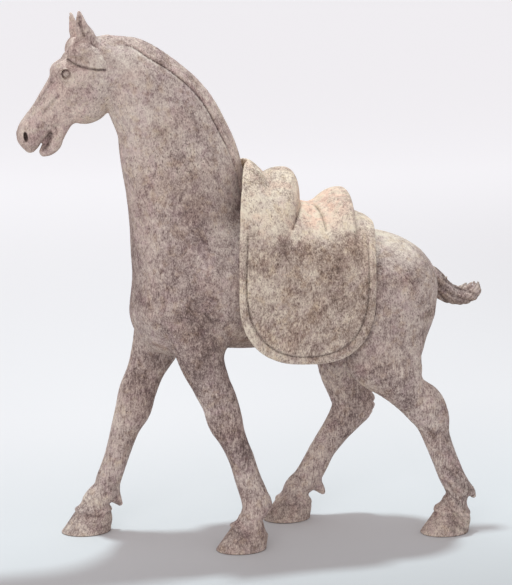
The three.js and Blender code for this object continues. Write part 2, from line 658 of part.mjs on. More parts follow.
// Collapses edges in the order of least change of shape until `target` triangles are left
function thin({ pos, tri }, target, weight) {
  const nv = pos.length / 3;
  let faces = tri.length / 3;
  const Q = new Float64Array(10 * nv), fan = Array.from({ length: nv }, () => []);
  const alive = new Uint8Array(faces).fill(1), stamp = new Int32Array(nv);
  const normal = (a, b, c) => {
    const ux = pos[3 * b] - pos[3 * a], uy = pos[3 * b + 1] - pos[3 * a + 1], uz = pos[3 * b + 2] - pos[3 * a + 2];
    const vx = pos[3 * c] - pos[3 * a], vy = pos[3 * c + 1] - pos[3 * a + 1], vz = pos[3 * c + 2] - pos[3 * a + 2];
    return [uy * vz - uz * vy, uz * vx - ux * vz, ux * vy - uy * vx];
  };
  for (let f = 0; f < faces; f++) {
    const [a, b, c] = [tri[3 * f], tri[3 * f + 1], tri[3 * f + 2]];
    const N = normal(a, b, c), l = Math.hypot(...N) || 1e-12;
    const nx = N[0] / l, ny = N[1] / l, nz = N[2] / l;
    const d = -(nx * pos[3 * a] + ny * pos[3 * a + 1] + nz * pos[3 * a + 2]);
    const w = l * weight(pos[3 * a], pos[3 * a + 1], pos[3 * a + 2]);
    const q = [nx * nx, nx * ny, nx * nz, nx * d, ny * ny, ny * nz, ny * d, nz * nz, nz * d, d * d];
    for (const v of [a, b, c]) {
      for (let i = 0; i < 10; i++) Q[10 * v + i] += w * q[i];
      fan[v].push(f);
    }
  }
  const at = (q, x, y, z) =>
    q[0] * x * x + 2 * q[1] * x * y + 2 * q[2] * x * z + 2 * q[3] * x + q[4] * y * y +
    2 * q[5] * y * z + 2 * q[6] * y + q[7] * z * z + 2 * q[8] * z + q[9];
  const q = new Float64Array(10);
  function best(a, b) {
    for (let i = 0; i < 10; i++) q[i] = Q[10 * a + i] + Q[10 * b + i];
    const mx = (pos[3 * a] + pos[3 * b]) / 2, my = (pos[3 * a + 1] + pos[3 * b + 1]) / 2, mz = (pos[3 * a + 2] + pos[3 * b + 2]) / 2;
    const e = 1e-3 * (q[0] + q[4] + q[7]) + 1e-9; // pulls a flat case to the edge's middle
    const m00 = q[0] + e, m11 = q[4] + e, m22 = q[7] + e;
    const r0 = -q[3] + e * mx, r1 = -q[6] + e * my, r2 = -q[8] + e * mz;
    const c00 = m11 * m22 - q[5] * q[5], c01 = q[2] * q[5] - q[1] * m22, c02 = q[1] * q[5] - q[2] * m11;
    const det = m00 * c00 + q[1] * c01 + q[2] * c02;
    let x = (c00 * r0 + c01 * r1 + c02 * r2) / det,
      y = (c01 * r0 + (m00 * m22 - q[2] * q[2]) * r1 + (q[1] * q[2] - m00 * q[5]) * r2) / det,
      z = (c02 * r0 + (q[1] * q[2] - m00 * q[5]) * r1 + (m00 * m11 - q[1] * q[1]) * r2) / det;
    const L = Math.hypot(pos[3 * a] - pos[3 * b], pos[3 * a + 1] - pos[3 * b + 1], pos[3 * a + 2] - pos[3 * b + 2]);
    if (!(Math.hypot(x - mx, y - my, z - mz) < 2 * L)) [x, y, z] = [mx, my, mz];
    return [Math.max(0, at(q, x, y, z)) + 1e-4 * L * L * L, x, y, z];
  }
  // binary heap of candidate edges
  const heap = [];
  const less = (a, b) => a[0] < b[0];
  const push = (e) => {
    let i = heap.push(e) - 1;
    while (i) {
      const p = (i - 1) >> 1;
      if (!less(heap[i], heap[p])) break;
      [heap[i], heap[p]] = [heap[p], heap[i]];
      i = p;
    }
  };
  const pop = () => {
    const top = heap[0], last = heap.pop();
    if (heap.length) {
      heap[0] = last;
      for (let i = 0; ; ) {
        let s = i;
        const l = 2 * i + 1, r = l + 1;
        if (l < heap.length && less(heap[l], heap[s])) s = l;
        if (r < heap.length && less(heap[r], heap[s])) s = r;
        if (s === i) break;
        [heap[i], heap[s]] = [heap[s], heap[i]];
        i = s;
      }
    }
    return top;
  };
  const offer = (a, b) => {
    const [c, x, y, z] = best(a, b);
    push([c, a, b, stamp[a], stamp[b], x, y, z]);
  };
  const ring = (v) => {
    const s = new Set();
    for (const f of fan[v]) for (let i = 0; i < 3; i++) s.add(tri[3 * f + i]);
    s.delete(v);
    return s;
  };
  for (let f = 0; f < faces; f++)
    for (let i = 0; i < 3; i++) {
      const a = tri[3 * f + i], b = tri[3 * f + ((i + 1) % 3)];
      if (a < b) offer(a, b);
    }
  while (faces > target && heap.length) {
    const [, a, b, sa, sb, x, y, z] = pop();
    if (stamp[a] !== sa || stamp[b] !== sb) continue;
    const ra = ring(a), rb = ring(b);
    let shared = 0;
    for (const v of ra) if (rb.has(v)) shared++;
    if (shared !== 2) continue;
    const old = [pos[3 * a], pos[3 * a + 1], pos[3 * a + 2], pos[3 * b], pos[3 * b + 1], pos[3 * b + 2]];
    const both = [], rest = [];
    for (const f of fan[a]) (tri[3 * f] === b || tri[3 * f + 1] === b || tri[3 * f + 2] === b ? both : rest).push(f);
    for (const f of fan[b]) if (!both.includes(f)) rest.push(f);
    if (both.length !== 2) continue;
    const before = rest.map((f) => normal(tri[3 * f], tri[3 * f + 1], tri[3 * f + 2]));
    for (const v of [a, b]) [pos[3 * v], pos[3 * v + 1], pos[3 * v + 2]] = [x, y, z];
    const fine = rest.every((f, i) => {
      const m = normal(tri[3 * f], tri[3 * f + 1], tri[3 * f + 2]), o = before[i];
      const lm = Math.hypot(...m), lo = Math.hypot(...o);
      return lm > 1e-3 && m[0] * o[0] + m[1] * o[1] + m[2] * o[2] > 0.35 * lm * lo;
    });
    if (!fine) {
      [pos[3 * a], pos[3 * a + 1], pos[3 * a + 2], pos[3 * b], pos[3 * b + 1], pos[3 * b + 2]] = old;
      continue;
    }
    for (const f of both) {
      alive[f] = 0;
      faces--;
      for (let i = 0; i < 3; i++) {
        const v = tri[3 * f + i];
        fan[v] = fan[v].filter((g) => g !== f);
      }
    }
    for (const f of fan[b]) {
      for (let i = 0; i < 3; i++) if (tri[3 * f + i] === b) tri[3 * f + i] = a;
      fan[a].push(f);
    }
    fan[b] = [];
    for (let i = 0; i < 10; i++) Q[10 * a + i] += Q[10 * b + i];
    stamp[a]++;
    stamp[b] = -1;
    for (const v of ring(a)) offer(Math.min(a, v), Math.max(a, v));
  }
  const kept = [], id = new Map(), out = [];
  for (let f = 0; f < alive.length; f++) {
    if (!alive[f]) continue;
    for (let i = 0; i < 3; i++) {
      const v = tri[3 * f + i];
      if (!id.has(v)) {
        id.set(v, out.length / 3);
        out.push(pos[3 * v], pos[3 * v + 1], pos[3 * v + 2]);
      }
      kept.push(id.get(v));
    }
  }
  return { pos: new Float64Array(out), tri: new Int32Array(kept) };
}

const wasm = await Module();
wasm.setup();
function solid({ pos, tri }) {
  return new wasm.Manifold(
    new wasm.Mesh({ numProp: 3, vertProperties: new Float32Array(pos), triVerts: new Uint32Array(tri) }),
  );
}
function boxSolid(w, d, h, x, y, z) {
  const g = new THREE.BoxGeometry(w, d, h).translate(x, y, z);
  const p = g.attributes.position, key = new Map(), pos = [], tri = [];
  for (const i of g.index.array) {
    const k = [p.getX(i), p.getY(i), p.getZ(i)].map((v) => v.toFixed(3)).join();
    if (!key.has(k)) {
      key.set(k, pos.length / 3);
      pos.push(p.getX(i), p.getY(i), p.getZ(i));
    }
    tri.push(key.get(k));
  }
  return solid({ pos, tri });
}
function geometry(manifold) {
  const m = manifold.getMesh(), n = m.numProp, out = new Float32Array(m.numVert * 3);
  for (let i = 0; i < m.numVert; i++) {
    out[3 * i] = m.vertProperties[n * i] - CENTRE_X;
    out[3 * i + 1] = m.vertProperties[n * i + 1];
    out[3 * i + 2] = m.vertProperties[n * i + 2];
  }
  const g = new THREE.BufferGeometry()
    .setAttribute("position", new THREE.BufferAttribute(out, 3))
    .setIndex(new THREE.BufferAttribute(new Uint32Array(m.triVerts), 1));
  g.computeVertexNormals();
  return g;
}
function largest(manifold) {
  return manifold.decompose().sort((a, b) => b.volume() - a.volume())[0];
}

const horseField = horseShape();
const saddleField = saddleShape(horseField);

// the face and the feet keep more triangles than the plain masses
const horseWeight = (x, y, z) => (z > 425 && x < -130 ? 9 : z < 55 ? 3 : 1);
const horseRaw = closedSurface(sample(horseField, [-262, -96, -14], [310, 96, 614], HORSE_CELL));
const saddleRaw = closedSurface(sample(saddleField, [-36, -92, 196], [182, 92, 448], SADDLE_CELL));

const horseSolid = largest(solid(thin(horseRaw, HORSE_TRIANGLES, horseWeight)).subtract(
  boxSolid(900, 500, 60, 0, 0, -30),
));
const saddleSolid = largest(solid(thin(saddleRaw, SADDLE_TRIANGLES, () => 1)));

const piece = (name, manifold, color, roughness) => {
  const m = new THREE.Mesh(
    geometry(manifold),
    new THREE.MeshStandardMaterial({ color, roughness, metalness: 0 }),
  );
  m.name = name;
  return m;
};

const root = new THREE.Group();
root.name = "pottery_tomb_horse";
root.add(piece("horse", horseSolid, 0xa3937f, 0.92));
root.add(piece("saddle", saddleSolid, 0xb8a78f, 0.92));

export default root;
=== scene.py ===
import math
from concurrent.futures import ThreadPoolExecutor

import bpy
import numpy as np
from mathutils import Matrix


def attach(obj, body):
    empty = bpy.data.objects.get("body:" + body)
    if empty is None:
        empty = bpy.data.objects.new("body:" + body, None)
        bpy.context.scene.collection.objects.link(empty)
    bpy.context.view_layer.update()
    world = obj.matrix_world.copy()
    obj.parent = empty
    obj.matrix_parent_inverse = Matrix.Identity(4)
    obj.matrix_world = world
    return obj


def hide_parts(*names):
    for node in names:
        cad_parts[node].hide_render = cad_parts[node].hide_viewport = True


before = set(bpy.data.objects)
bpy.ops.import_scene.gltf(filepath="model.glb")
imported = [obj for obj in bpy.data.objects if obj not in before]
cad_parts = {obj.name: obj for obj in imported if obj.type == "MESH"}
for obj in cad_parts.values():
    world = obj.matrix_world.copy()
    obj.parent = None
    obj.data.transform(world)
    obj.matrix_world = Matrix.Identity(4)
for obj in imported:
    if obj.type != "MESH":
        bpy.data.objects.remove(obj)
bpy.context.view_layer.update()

# Unglazed pottery horse with a separately made saddle. The shapes are worked out in millimetres, head toward -X,
# left side toward -Y, as sections swept along named stations that flow into one another; SHIFT_X then brings them
# to the middle of the frame. Fine relief (pits, tool strokes, cut lines, hair, folds) is real geometry.
SHIFT_X = 24.3
HORSE_CELL = 1.3
SADDLE_CELL = 1.12
HORSE_TRIS = 194000
SADDLE_TRIS = 170000
REST_GAP = 0.4

# [x, y, z, half size in the side plane, half width]
NECK = [
    (-152, 0, 546, 27, 20), (-133, 0, 534, 38, 24), (-113.5, 0, 521.5, 43, 27), (-94.5, 0, 500.5, 50.5, 30),
    (-78, 0, 475.5, 57.3, 34), (-66.5, 0, 443, 63.6, 38), (-58.4, 0, 412, 65.9, 43), (-53, 0, 369, 66.6, 50),
    (-50.9, 0, 315, 65.9, 57), (-51, 0, 275, 59, 57),
]
BARREL = [
    (-58, 0, 287, 52, 54), (-20, 0, 289, 67, 62), (30, 0, 290, 70, 67), (85, 0, 288, 65, 68),
    (140, 0, 286.5, 64.5, 66), (178, 0, 282, 58.5, 62), (203, 0, 275.5, 45.5, 50),
]
LEGS = {
    "near_fore": dict(
        line=[(-56, -36, 262, 36, 24), (-53, -45, 238, 31, 22), (-50.2, -48, 216.7, 24.9, 19), (-41, -48, 192.8, 21.4, 17),
              (-31, -48, 170.4, 20, 17), (-24, -48, 146.1, 19.2, 16), (-15, -48, 125.3, 14.8, 14),
              (-5.7, -48, 102, 14.2, 12.5), (1.9, -49, 77.8, 14.6, 12.5), (8, -50, 60, 15.6, 13.5)],
        sole=(-7.8, -51.9), fetlock=(17.5, 50, 16), ergot=(34.5, 45), pastern=12.8, coronet=(22.5, -0.28)),
    "far_fore": dict(
        line=[(-66, 36, 262, 38, 24), (-74.5, 45, 240.5, 33.5, 22), (-83, 48, 216.5, 28, 19), (-95.6, 48, 187.2, 21.5, 17),
              (-104.8, 48, 164.5, 21.4, 17), (-110.5, 48, 143.1, 20.8, 16), (-119.6, 48, 121.8, 16.6, 14),
              (-127.5, 49, 97, 14.4, 12.5), (-134.5, 50, 75.4, 13.8, 13), (-140, 51, 60, 14.2, 13.5)],
        sole=(-166.9, 52.1), fetlock=(23.5, 48, 14.8), ergot=(42, 27.5), pastern=14.2, coronet=(24.5, -0.03)),
    "near_hind": dict(
        line=[(167, -30, 262, 49, 34), (160, -38, 236.2, 48.8, 32), (159.8, -43, 210.8, 43.6, 28), (173.5, -45, 188.3, 31.8, 23),
              (188.7, -46, 167.8, 22.2, 18.5), (206.1, -47, 152.5, 23.7, 16), (216.7, -47, 135.8, 20.8, 14),
              (223, -47, 113.6, 15.6, 12.5), (231.6, -48, 91.4, 14.5, 12), (240.5, -49, 68.9, 14.6, 12.5)],
        sole=(233.7, -49.7), fetlock=(15.5, 50, 13.8), ergot=(36.5, 38), pastern=12.2, coronet=(24.5, -0.14)),
    "far_hind": dict(
        line=[(160, 28, 262, 58, 34), (148, 36, 228, 50, 32), (139, 42, 203, 35, 28), (135.5, 45, 178.9, 26, 22),
              (145, 45, 151, 23.3, 17), (152.3, 45, 136, 26.2, 16), (144.2, 45, 120.7, 21.4, 15),
              (130.4, 44, 102.9, 17.2, 13.5), (114, 43, 81, 15.2, 12.5), (105, 43, 64, 15.4, 13)],
        sole=(69.5, 42.1), fetlock=(24, 46, 15.6), ergot=(46.5, 26), pastern=14, coronet=(21.5, -0.1)),
}
HEAD = [
    (-150, 0, 548, 22, 19), (-160, 0, 540, 25, 22), (-173.5, 0, 524, 26.5, 24), (-188.5, 0, 505, 24.6, 20),
    (-205, 0, 486, 20.6, 16), (-216.5, 0, 475.5, 17.6, 15), (-225.2, 0, 466.5, 15.6, 14.5), (-227.8, 0, 457.5, 12.6, 13),
]
UPPER_LIP = [(-226, 0, 461, 11, 12), (-226.8, 0, 453.5, 8.5, 10.5), (-226, 0, 447.8, 4.8, 8)]
LOWER_JAW = [(-185, 0, 485, 9, 13), (-191, 0, 474.5, 8, 12), (-196.6, 0, 464.6, 7.9, 11.5), (-202.2, 0, 454.8, 9.2, 11),
             (-208.6, 0, 448.2, 7.2, 10), (-214.4, 0, 444.8, 4.2, 8)]
MOUTH_GAP = [(-214.5, 0, 455, 1.1, 30), (-218.6, 0, 447, 1.7, 30), (-222, 0, 439, 3.0, 30)]
MOUTH_CORNER = [(-205.2, -14.5, 466, 2.0, 6.2), (-208.2, -14.5, 460.8, 3.3, 7), (-211.6, -14, 455.4, 4.1, 7.6), (-215.4, -13.5, 451, 3.8, 7.6)]
NEAR_EAR = [(-163, -12, 560, 10.8, 8.5), (-167, -13, 570.5, 9.4, 7.4), (-170.3, -14, 578.5, 7, 6), (-171.9, -14, 585.5, 4.9, 4.6),
            (-172.9, -14, 591.5, 3, 3), (-173.3, -14, 595, 1.5, 1.5)]
HAM = [(189, -44, 226, 15.5, 16), (187.9, -45, 215, 15.0, 15), (187.8, -45, 205, 14.7, 14), (189.6, -46, 194, 13.2, 13)]
FAR_EAR = [(-168.5, 12, 560, 9.4, 8), (-173.1, 13, 570, 6.6, 6), (-175.8, 14, 578, 5.3, 4.8), (-177.2, 14, 584, 4.4, 3.9), (-178, 14, 589, 3.1, 2.8),
           (-178.5, 14, 592.4, 1.7, 1.7)]
FORELOCK = [(-178.3, -8, 555.6, 12, 14), (-168, -11, 553, 12.8, 16), (-158.3, -17, 546.5, 9, 10.5), (-149, -21.8, 538, 3.8, 5)]
TAIL = [(220, 0, 295, 12, 11), (230, 0, 288, 13.5, 11), (240.5, 0, 278.5, 12.6, 10.5), (249.5, 0, 271.5, 11.6, 10.5), (257.1, 0, 268.3, 10.8, 10),
        (265.7, 0, 266.2, 10, 9.5), (275.5, 0, 267.4, 9.6, 8.6), (282.8, 0, 270.8, 8.2, 7), (287.6, 0, 275.2, 5, 4.6)]
TAIL_TUFTS = [  # base, tip, base half size
    ((240.2, -4, 284), (240.9, -5, 294.2), 2.9), ((246.0, -4, 281.5), (247.2, -5, 291.5), 2.4),
    ((252, 2, 279), (255.5, 2.5, 281.6), 3.0), ((264.0, -2.5, 276), (267.5, -3, 279.2), 3.0), ((270.5, 3, 276), (274.2, 3, 280.6), 3.2),
    ((274.6, -3, 277.5), (279.4, -3.2, 282.4), 3.0), ((283.5, 0, 277.5), (281.9, -1, 283.4), 2.6), ((287.6, -1, 277), (287.0, -1.5, 282.6), 2.4),
]
EYE = np.array([-189.2, -21.0, 529.6])
# Cut lines, on the horse's left side: points, depth, half width; the first group is on both sides
BOTH = [
    ([(-185.5, -15, 544.6), (-182, -17.6, 541.8), (-177.5, -21, 539.2), (-172, -23.5, 537), (-166, -25.2, 535.3),
      (-157, -25.6, 533.8), (-148, -25.6, 533.6)], 2.4, 1.5),  # under the forelock
    ([(-163, -18.5, 566), (-158.5, -20, 560.5), (-153, -21.8, 553.5), (-147.5, -23.4, 546), (-143.5, -24.3, 539)], 0.9, 2.6),
    ([(-203.4, -10.4, 520.6), (-208.6, -8, 513.8), (-215, -6.3, 505), (-221.3, -5.6, 495.8), (-226, -6.6, 487.6)], 1.5, 1.8),
    ([(-197, -18.4, 507.4), (-203.4, -16.5, 500.6), (-210, -14.8, 493.2), (-213.6, -14.5, 488)], 1.3, 1.7),
    ([(-211, -14.3, 471.5), (-207.5, -14.4, 475), (-202.5, -13, 474.4), (-199.4, -12.2, 470), (-199, -11.6, 465)], 1.0, 1.3),
    ([(-142.1, -23.9, 512.4), (-138.8, -22.5, 503.8), (-138.5, -20, 496.1), (-142.2, -15.6, 490.5)], 0.85, 5.0),
    ([(213.8, -30, 321), (215.6, -34, 316.6), (216.4, -40, 308.2), (214.8, -48.5, 296), (212.8, -53, 283.2), (210.6, -54.8, 273.3)], 0.7, 1.6),
]
ONE = [
    ([(-108.2, -38.7, 330), (-107.4, -38.9, 308.5), (-108.5, -37.6, 290.7), (-107.2, -41.5, 273.7), (-103.6, -44.7, 258)], -1.4, 2.6),
    ([(-112.5, -35, 312), (-112, -34.6, 296), (-112.8, -33.5, 282)], 1.1, 1.9),
    ([(205, -56, 190), (212, -57, 178.3), (219.3, -58.5, 168.3), (227.3, -57, 159.2), (232, -54, 152)], 1.7, 1.3),
    ([(214, -56.5, 186), (222, -57.5, 174), (229.5, -56.5, 166)], 1.0, 1.2),
    ([(231, -59.5, 150), (234.5, -59, 136), (237, -59, 118), (243, -59.5, 96), (250, -60, 76)], 0.8, 1.2),
    ([(-3.9, -62, 72), (3, -62.5, 56), (10, -63, 42)], 0.9, 1.1),
    ([(4, -62, 84), (12, -63, 62), (17, -63, 46)], 0.7, 1.1),
    ([(-50, -66, 275), (-42, -66, 263), (-31, -65, 252), (-22, -62, 244)], 1.2, 2.4),
    ([(-15, -63, 208), (-12, -64, 190)], 0.5, 2.0),
]
SPRING, FLAP_HALF, SHEET = 300.0, 75.0, 6.5
TOP_LINE = [(-25, 438), (0, 436), (15.7, 431), (26, 422), (38, 408), (60, 392), (79, 383), (92, 383.5), (105, 384),
            (120, 379), (135, 371.5), (150, 364.5), (160, 355), (175, 344)]
POMMEL = dict(x=51, lean=0.33, top=422.6, back=37, fore=40, p_back=3, p_fore=2.4)
CANTLE = dict(x=118.2, lean=0.12, top=398, back=48, fore=16.4, p_back=2, p_fore=3.6)
FOLDS = [  # creases of the cloth cover at the two sides of the seat
    ([(78, 0, 385), (72, -20, 383.5), (66.1, -33, 380.8), (57.6, -49.5, 372.4), (49.5, -61, 361)], 2.0, 1.6),
    ([(67.5, -33, 381), (60.5, -47, 374.5), (54, -58.5, 364)], -0.7, 2.0),
    ([(83, -10, 382.5), (84.8, -18, 381), (87.3, -33.5, 375.6), (88.3, -46, 367.4), (88.4, -56, 357)], 2.0, 1.5),
    ([(12, -30, 424), (14, -45, 412), (13, -57, 396), (10, -66, 376)], 0.8, 2.6),
]


# ---- distance fields --------------------------------------------------------------------------------
def step(a, b, v):
    t = np.clip((v - a) / (b - a), 0, 1)
    return t * t * (3 - 2 * t)


def smin(a, b, k):
    h = np.maximum(k - np.abs(a - b), 0) / k
    return np.minimum(a, b) - h * h * k * 0.25


def smax(a, b, k):
    return -smin(-a, -b, k)


def smooth_line(st, n):
    st = np.asarray(st, float)
    m, out = len(st), []
    for i in range(m - 1):
        p1, p2 = st[i], st[i + 1]
        p0 = st[i - 1] if i else 2 * p1 - p2
        p3 = st[i + 2] if i < m - 2 else 2 * p2 - p1
        for k in range(n):
            t = k / n
            out.append(0.5 * (2 * p1 + (p2 - p0) * t + (2 * p0 - 5 * p1 + 4 * p2 - p3) * t * t + (3 * p1 - p0 - 3 * p2 + p3) * t ** 3))
    out.append(st[-1])
    out = np.array(out)
    out[:, 3:] = np.maximum(out[:, 3:], 0.6 * st[:, 3:].min(0))
    return out


def tube(st, n=5, egg=0.0):
    """An oval section swept along stations, as a function of an array of points."""
    pad, far = 40.0, 80.0
    S = smooth_line(st, n)
    widest = S[:, 3:].max()
    lo, hi = S[:, :3].min(0) - widest - pad, S[:, :3].max(0) + widest + pad
    segs = []
    for A, B in zip(S[:-1], S[1:]):
        d = B[:3] - A[:3]
        L = np.linalg.norm(d)
        if L < 1e-6:
            continue
        t = d / L
        v = np.array([0, 1.0, 0]) - t[1] * t
        v /= np.linalg.norm(v)
        segs.append((A, B, t, np.cross(t, v), v, L, max(A[3], B[3], A[4], B[4]) + pad))

    def f(P):
        out = np.full(len(P), far)
        sel = np.nonzero(((P > lo) & (P < hi)).all(1))[0]
        if not len(sel):
            return out
        Q = P[sel]
        res = np.full(len(Q), far)
        for A, B, t, u, v, L, reach in segs:
            q = Q - A[:3]
            w = q @ t
            near = np.nonzero((w > -reach) & (w < L + reach))[0]
            if not len(near):
                continue
            q, w = q[near], w[near]
            U, V = q @ u, q @ v
            ok = (np.abs(U) < reach) & (np.abs(V) < reach)
            near, w, U, V = near[ok], w[ok], U[ok], V[ok]
            s = np.clip(w / L, 0, 1)
            a, b = A[3] + (B[3] - A[3]) * s, A[4] + (B[4] - A[4]) * s
            c, W = 0.5 * np.minimum(a, b), w - s * L
            if egg:
                b = b * np.clip(1 + egg * U / a, 0.35, 1.65)
            Ua, Vb, Wc = U / a, V / b, W / c
            r = np.sqrt(Ua * Ua + Vb * Vb + Wc * Wc) + 1e-9
            g = np.sqrt((Ua / a) ** 2 + (Vb / b) ** 2 + (Wc / c) ** 2) + 1e-9
            res[near] = np.minimum(res[near], np.where(r < 0.3, -0.7 * np.minimum(a, b), r * (r - 1) / g))
        out[sel] = res
        return out

    return f


def ellipsoid(c, r, turn=0.0):
    c, r = np.asarray(c, float), np.asarray(r, float)
    ca, sa = math.cos(math.radians(turn)), math.sin(math.radians(turn))

    def f(P):
        q = P - c
        if turn:
            q = np.stack([q[:, 0] * ca + q[:, 2] * sa, q[:, 1], -q[:, 0] * sa + q[:, 2] * ca], 1)
        q = q / r
        k0 = np.sqrt((q * q).sum(1)) + 1e-9
        return np.where(k0 < 0.3, -0.7 * r.min(), k0 * (k0 - 1) / (np.sqrt(((q / r) ** 2).sum(1)) + 1e-9))

    return f


def oval(U, V, a, b, inside):
    r = np.sqrt((U / a) ** 2 + (V / b) ** 2) + 1e-9
    return np.where(r < 0.3, inside, r * (r - 1) / (np.sqrt((U / a ** 2) ** 2 + (V / b ** 2) ** 2) + 1e-9))


def path_distance(P, pts, reach):
    """Distance to a polyline, exact within reach of it."""
    pts = np.asarray(pts, float)
    out = np.full(len(P), 1e3)
    sel = np.nonzero(((P > pts.min(0) - reach) & (P < pts.max(0) + reach)).all(1))[0]
    if not len(sel):
        return out
    Q, best = P[sel], np.full(len(sel), 1e3)
    for a, b in zip(pts[:-1], pts[1:]):
        d = b - a
        t = np.clip(((Q - a) @ d) / (d @ d), 0, 1)
        best = np.minimum(best, np.linalg.norm(Q - a - t[:, None] * d, axis=1))
    out[sel] = best
    return out


def rounded(pts, n=5):
    p = np.asarray(pts, float)
    if len(p) < 3:
        return p
    return smooth_line(np.hstack([p, np.ones((len(p), 2))]), n)[:, :3]


def cut_lines(P, lines, flat=False):
    """Lines cut into the surface; flat ones are cut straight in from the side."""
    d, keep = np.zeros(len(P)), np.array([1, 0 if flat else 1, 1])
    for pts, deep, half in lines:
        s = path_distance(P * keep, rounded(pts) * keep, 4 * half)
        d += deep * np.exp(-((s / half) ** 2))
    return d


def foot(line, sole, fetlock, ergot, pastern, coronet):
    (sx, sy), (fx, fz, fa), (ex, ez) = sole, fetlock, ergot
    leg = tube(list(line) + [(sx + fx, sy, fz, fa, 13.6), (sx + 12.6, sy, 38, pastern, 12.4), (sx + 9, sy, 27, 14, 13)])
    spur = tube([(sx + fx + 5, sy, fz + 3, 10, 7), (sx + ex - 6, sy, ez + 9, 6.3, 4.8), (sx + ex - 0.5, sy, ez + 1.5, 2.6, 2.4)], 4)

    def f(P):
        d = leg(P)
        near = np.nonzero((P[:, 2] < 95) & (np.abs(P[:, 0] - sx) < 95) & (np.abs(P[:, 1] - sy) < 70))[0]
        if len(near):
            Q, e = P[near], d[near]
            x, y, z = Q[:, 0] - sx, Q[:, 1] - sy, Q[:, 2]
            turn = np.arctan2(y, x - 8.8)
            line_z = coronet[0] + coronet[1] * x + 0.7 * np.sin(3 * turn + sx) + 0.45 * np.sin(7 * turn + 2 * sx)
            # the wall of the hoof, its heel a little swollen, and the fringe of hair that flares over its top
            t = np.clip(z / 24.0, -0.3, 1.3)
            heel = 1.6 * np.exp(-(((z - 14) / 8) ** 2)) * np.clip(x / 20, 0, 1)
            wall = 0.93 * oval(x - 8.8 * t, y, 28.7 - 8.4 * t, 21.4 - 5.0 * t, -12) - heel
            e = smin(e, smax(wall, z - line_z - 2.5, 3), 2.0)
            u = np.clip((z - line_z - 2.8) / 10.5, 0, 1)
            u = u * (1.6 - 0.6 * u)
            flare = smax(0.9 * oval(x - 8.8 - 3.2 * u, y, 21.3 - 7.5 * u, 17.2 - 4.0 * u, -10), line_z - z, 1.6)
            e = smin(e, smax(flare, z - line_z - 16, 3), 3.0)
            e = e + 0.75 * np.exp(-(((z - line_z + 0.9) / 0.85) ** 2)) * (e > -5) * (e < 8)
            d[near] = smin(e, spur(Q), 4)
        return d

    return f


FEET = [foot(**v) for v in LEGS.values()]
F_NECK, F_BARREL, F_HEAD, F_TAIL = tube(NECK, 6, -0.28), tube(BARREL, 6), tube(HEAD), tube(TAIL)
F_BREAST = ellipsoid((-72, 0, 262), (46, 52, 46))
F_HAUNCH, F_SHOULDER = ellipsoid((172, -26, 270), (49, 37, 63)), ellipsoid((-42, -36, 280), (40, 26, 50), 15)
F_CHEEK, F_BROW = ellipsoid((-167, 0, 503), (29.5, 21, 28), 8), ellipsoid((-191.2, -9.5, 532.2), (11.4, 10, 10.4), 25)
F_HAM = tube(HAM, 4)
F_FOREHEAD = ellipsoid((-174, 0, 541), (16, 16, 15), -20)
F_LIP, F_JAW, F_GAP, F_CORNER = tube(UPPER_LIP, 4), tube(LOWER_JAW, 4), tube(MOUTH_GAP, 3), tube(MOUTH_CORNER, 4)
F_NOSTRIL = ellipsoid((-232.4, -13.2, 463.6), (1.9, 6.0, 5.2), 8)
F_NOSTRIL_RIM = ellipsoid((-233.2, -8.6, 464), (6.0, 5.5, 7.6), 25)
F_LOCK, F_EARS = tube(FORELOCK, 5), [tube(NEAR_EAR, 4), tube(FAR_EAR, 4)]
F_TUFTS = [tube([(*b, r, r * 0.9), ((b[0] + t[0]) / 2, b[1], (b[2] + t[2]) / 2, r * 0.7, r * 0.6), (*t, r * 0.34, r * 0.34)], 2)
           for b, t, r in TAIL_TUFTS]


def mane_line(x, z):
    """How far inside the cut border of the cropped mane a point of the side plane lies (negative is the neck's side)."""
    inset = 14.7 - 3.2 * np.clip((462 - z) / 42, 0, 1) * (x > -60) - 4.6 * np.clip((-103 - x) / 17, 0, 1)
    return F_NECK(np.stack([x, 0 * x, z], 1)) + inset + 0.35 * np.sin(z / 17)


def strands(P, wide):
    """Short slanting locks on the tail, turning up toward its tip: 1 in the cut between two locks."""
    x, z = P[:, 0], P[:, 2]
    bend = np.where(x < 262, x - 250, 274 - x)
    gap = np.abs(((z + 0.8 * bend + 0.5 * np.sin(x / 3.1)) / 5.2 + 0.5) % 1 - 0.5) * 5.2
    return np.exp(-((gap / wide) ** 2)) * step(236, 243, x)


def locks(P):
    """Locks of the tail that run back and down, then curl up at the tip: 0 in the cut between two locks."""
    x, y, z = P.T
    wave = (x * 0.55 + z * 0.83) / 1.75 + 1.7 * np.sin(x / 9.5) + 0.9 * np.sin(z / 5.1 + x / 16)
    return np.abs(np.sin(wave / 2 + np.sign(y) * 0.7))


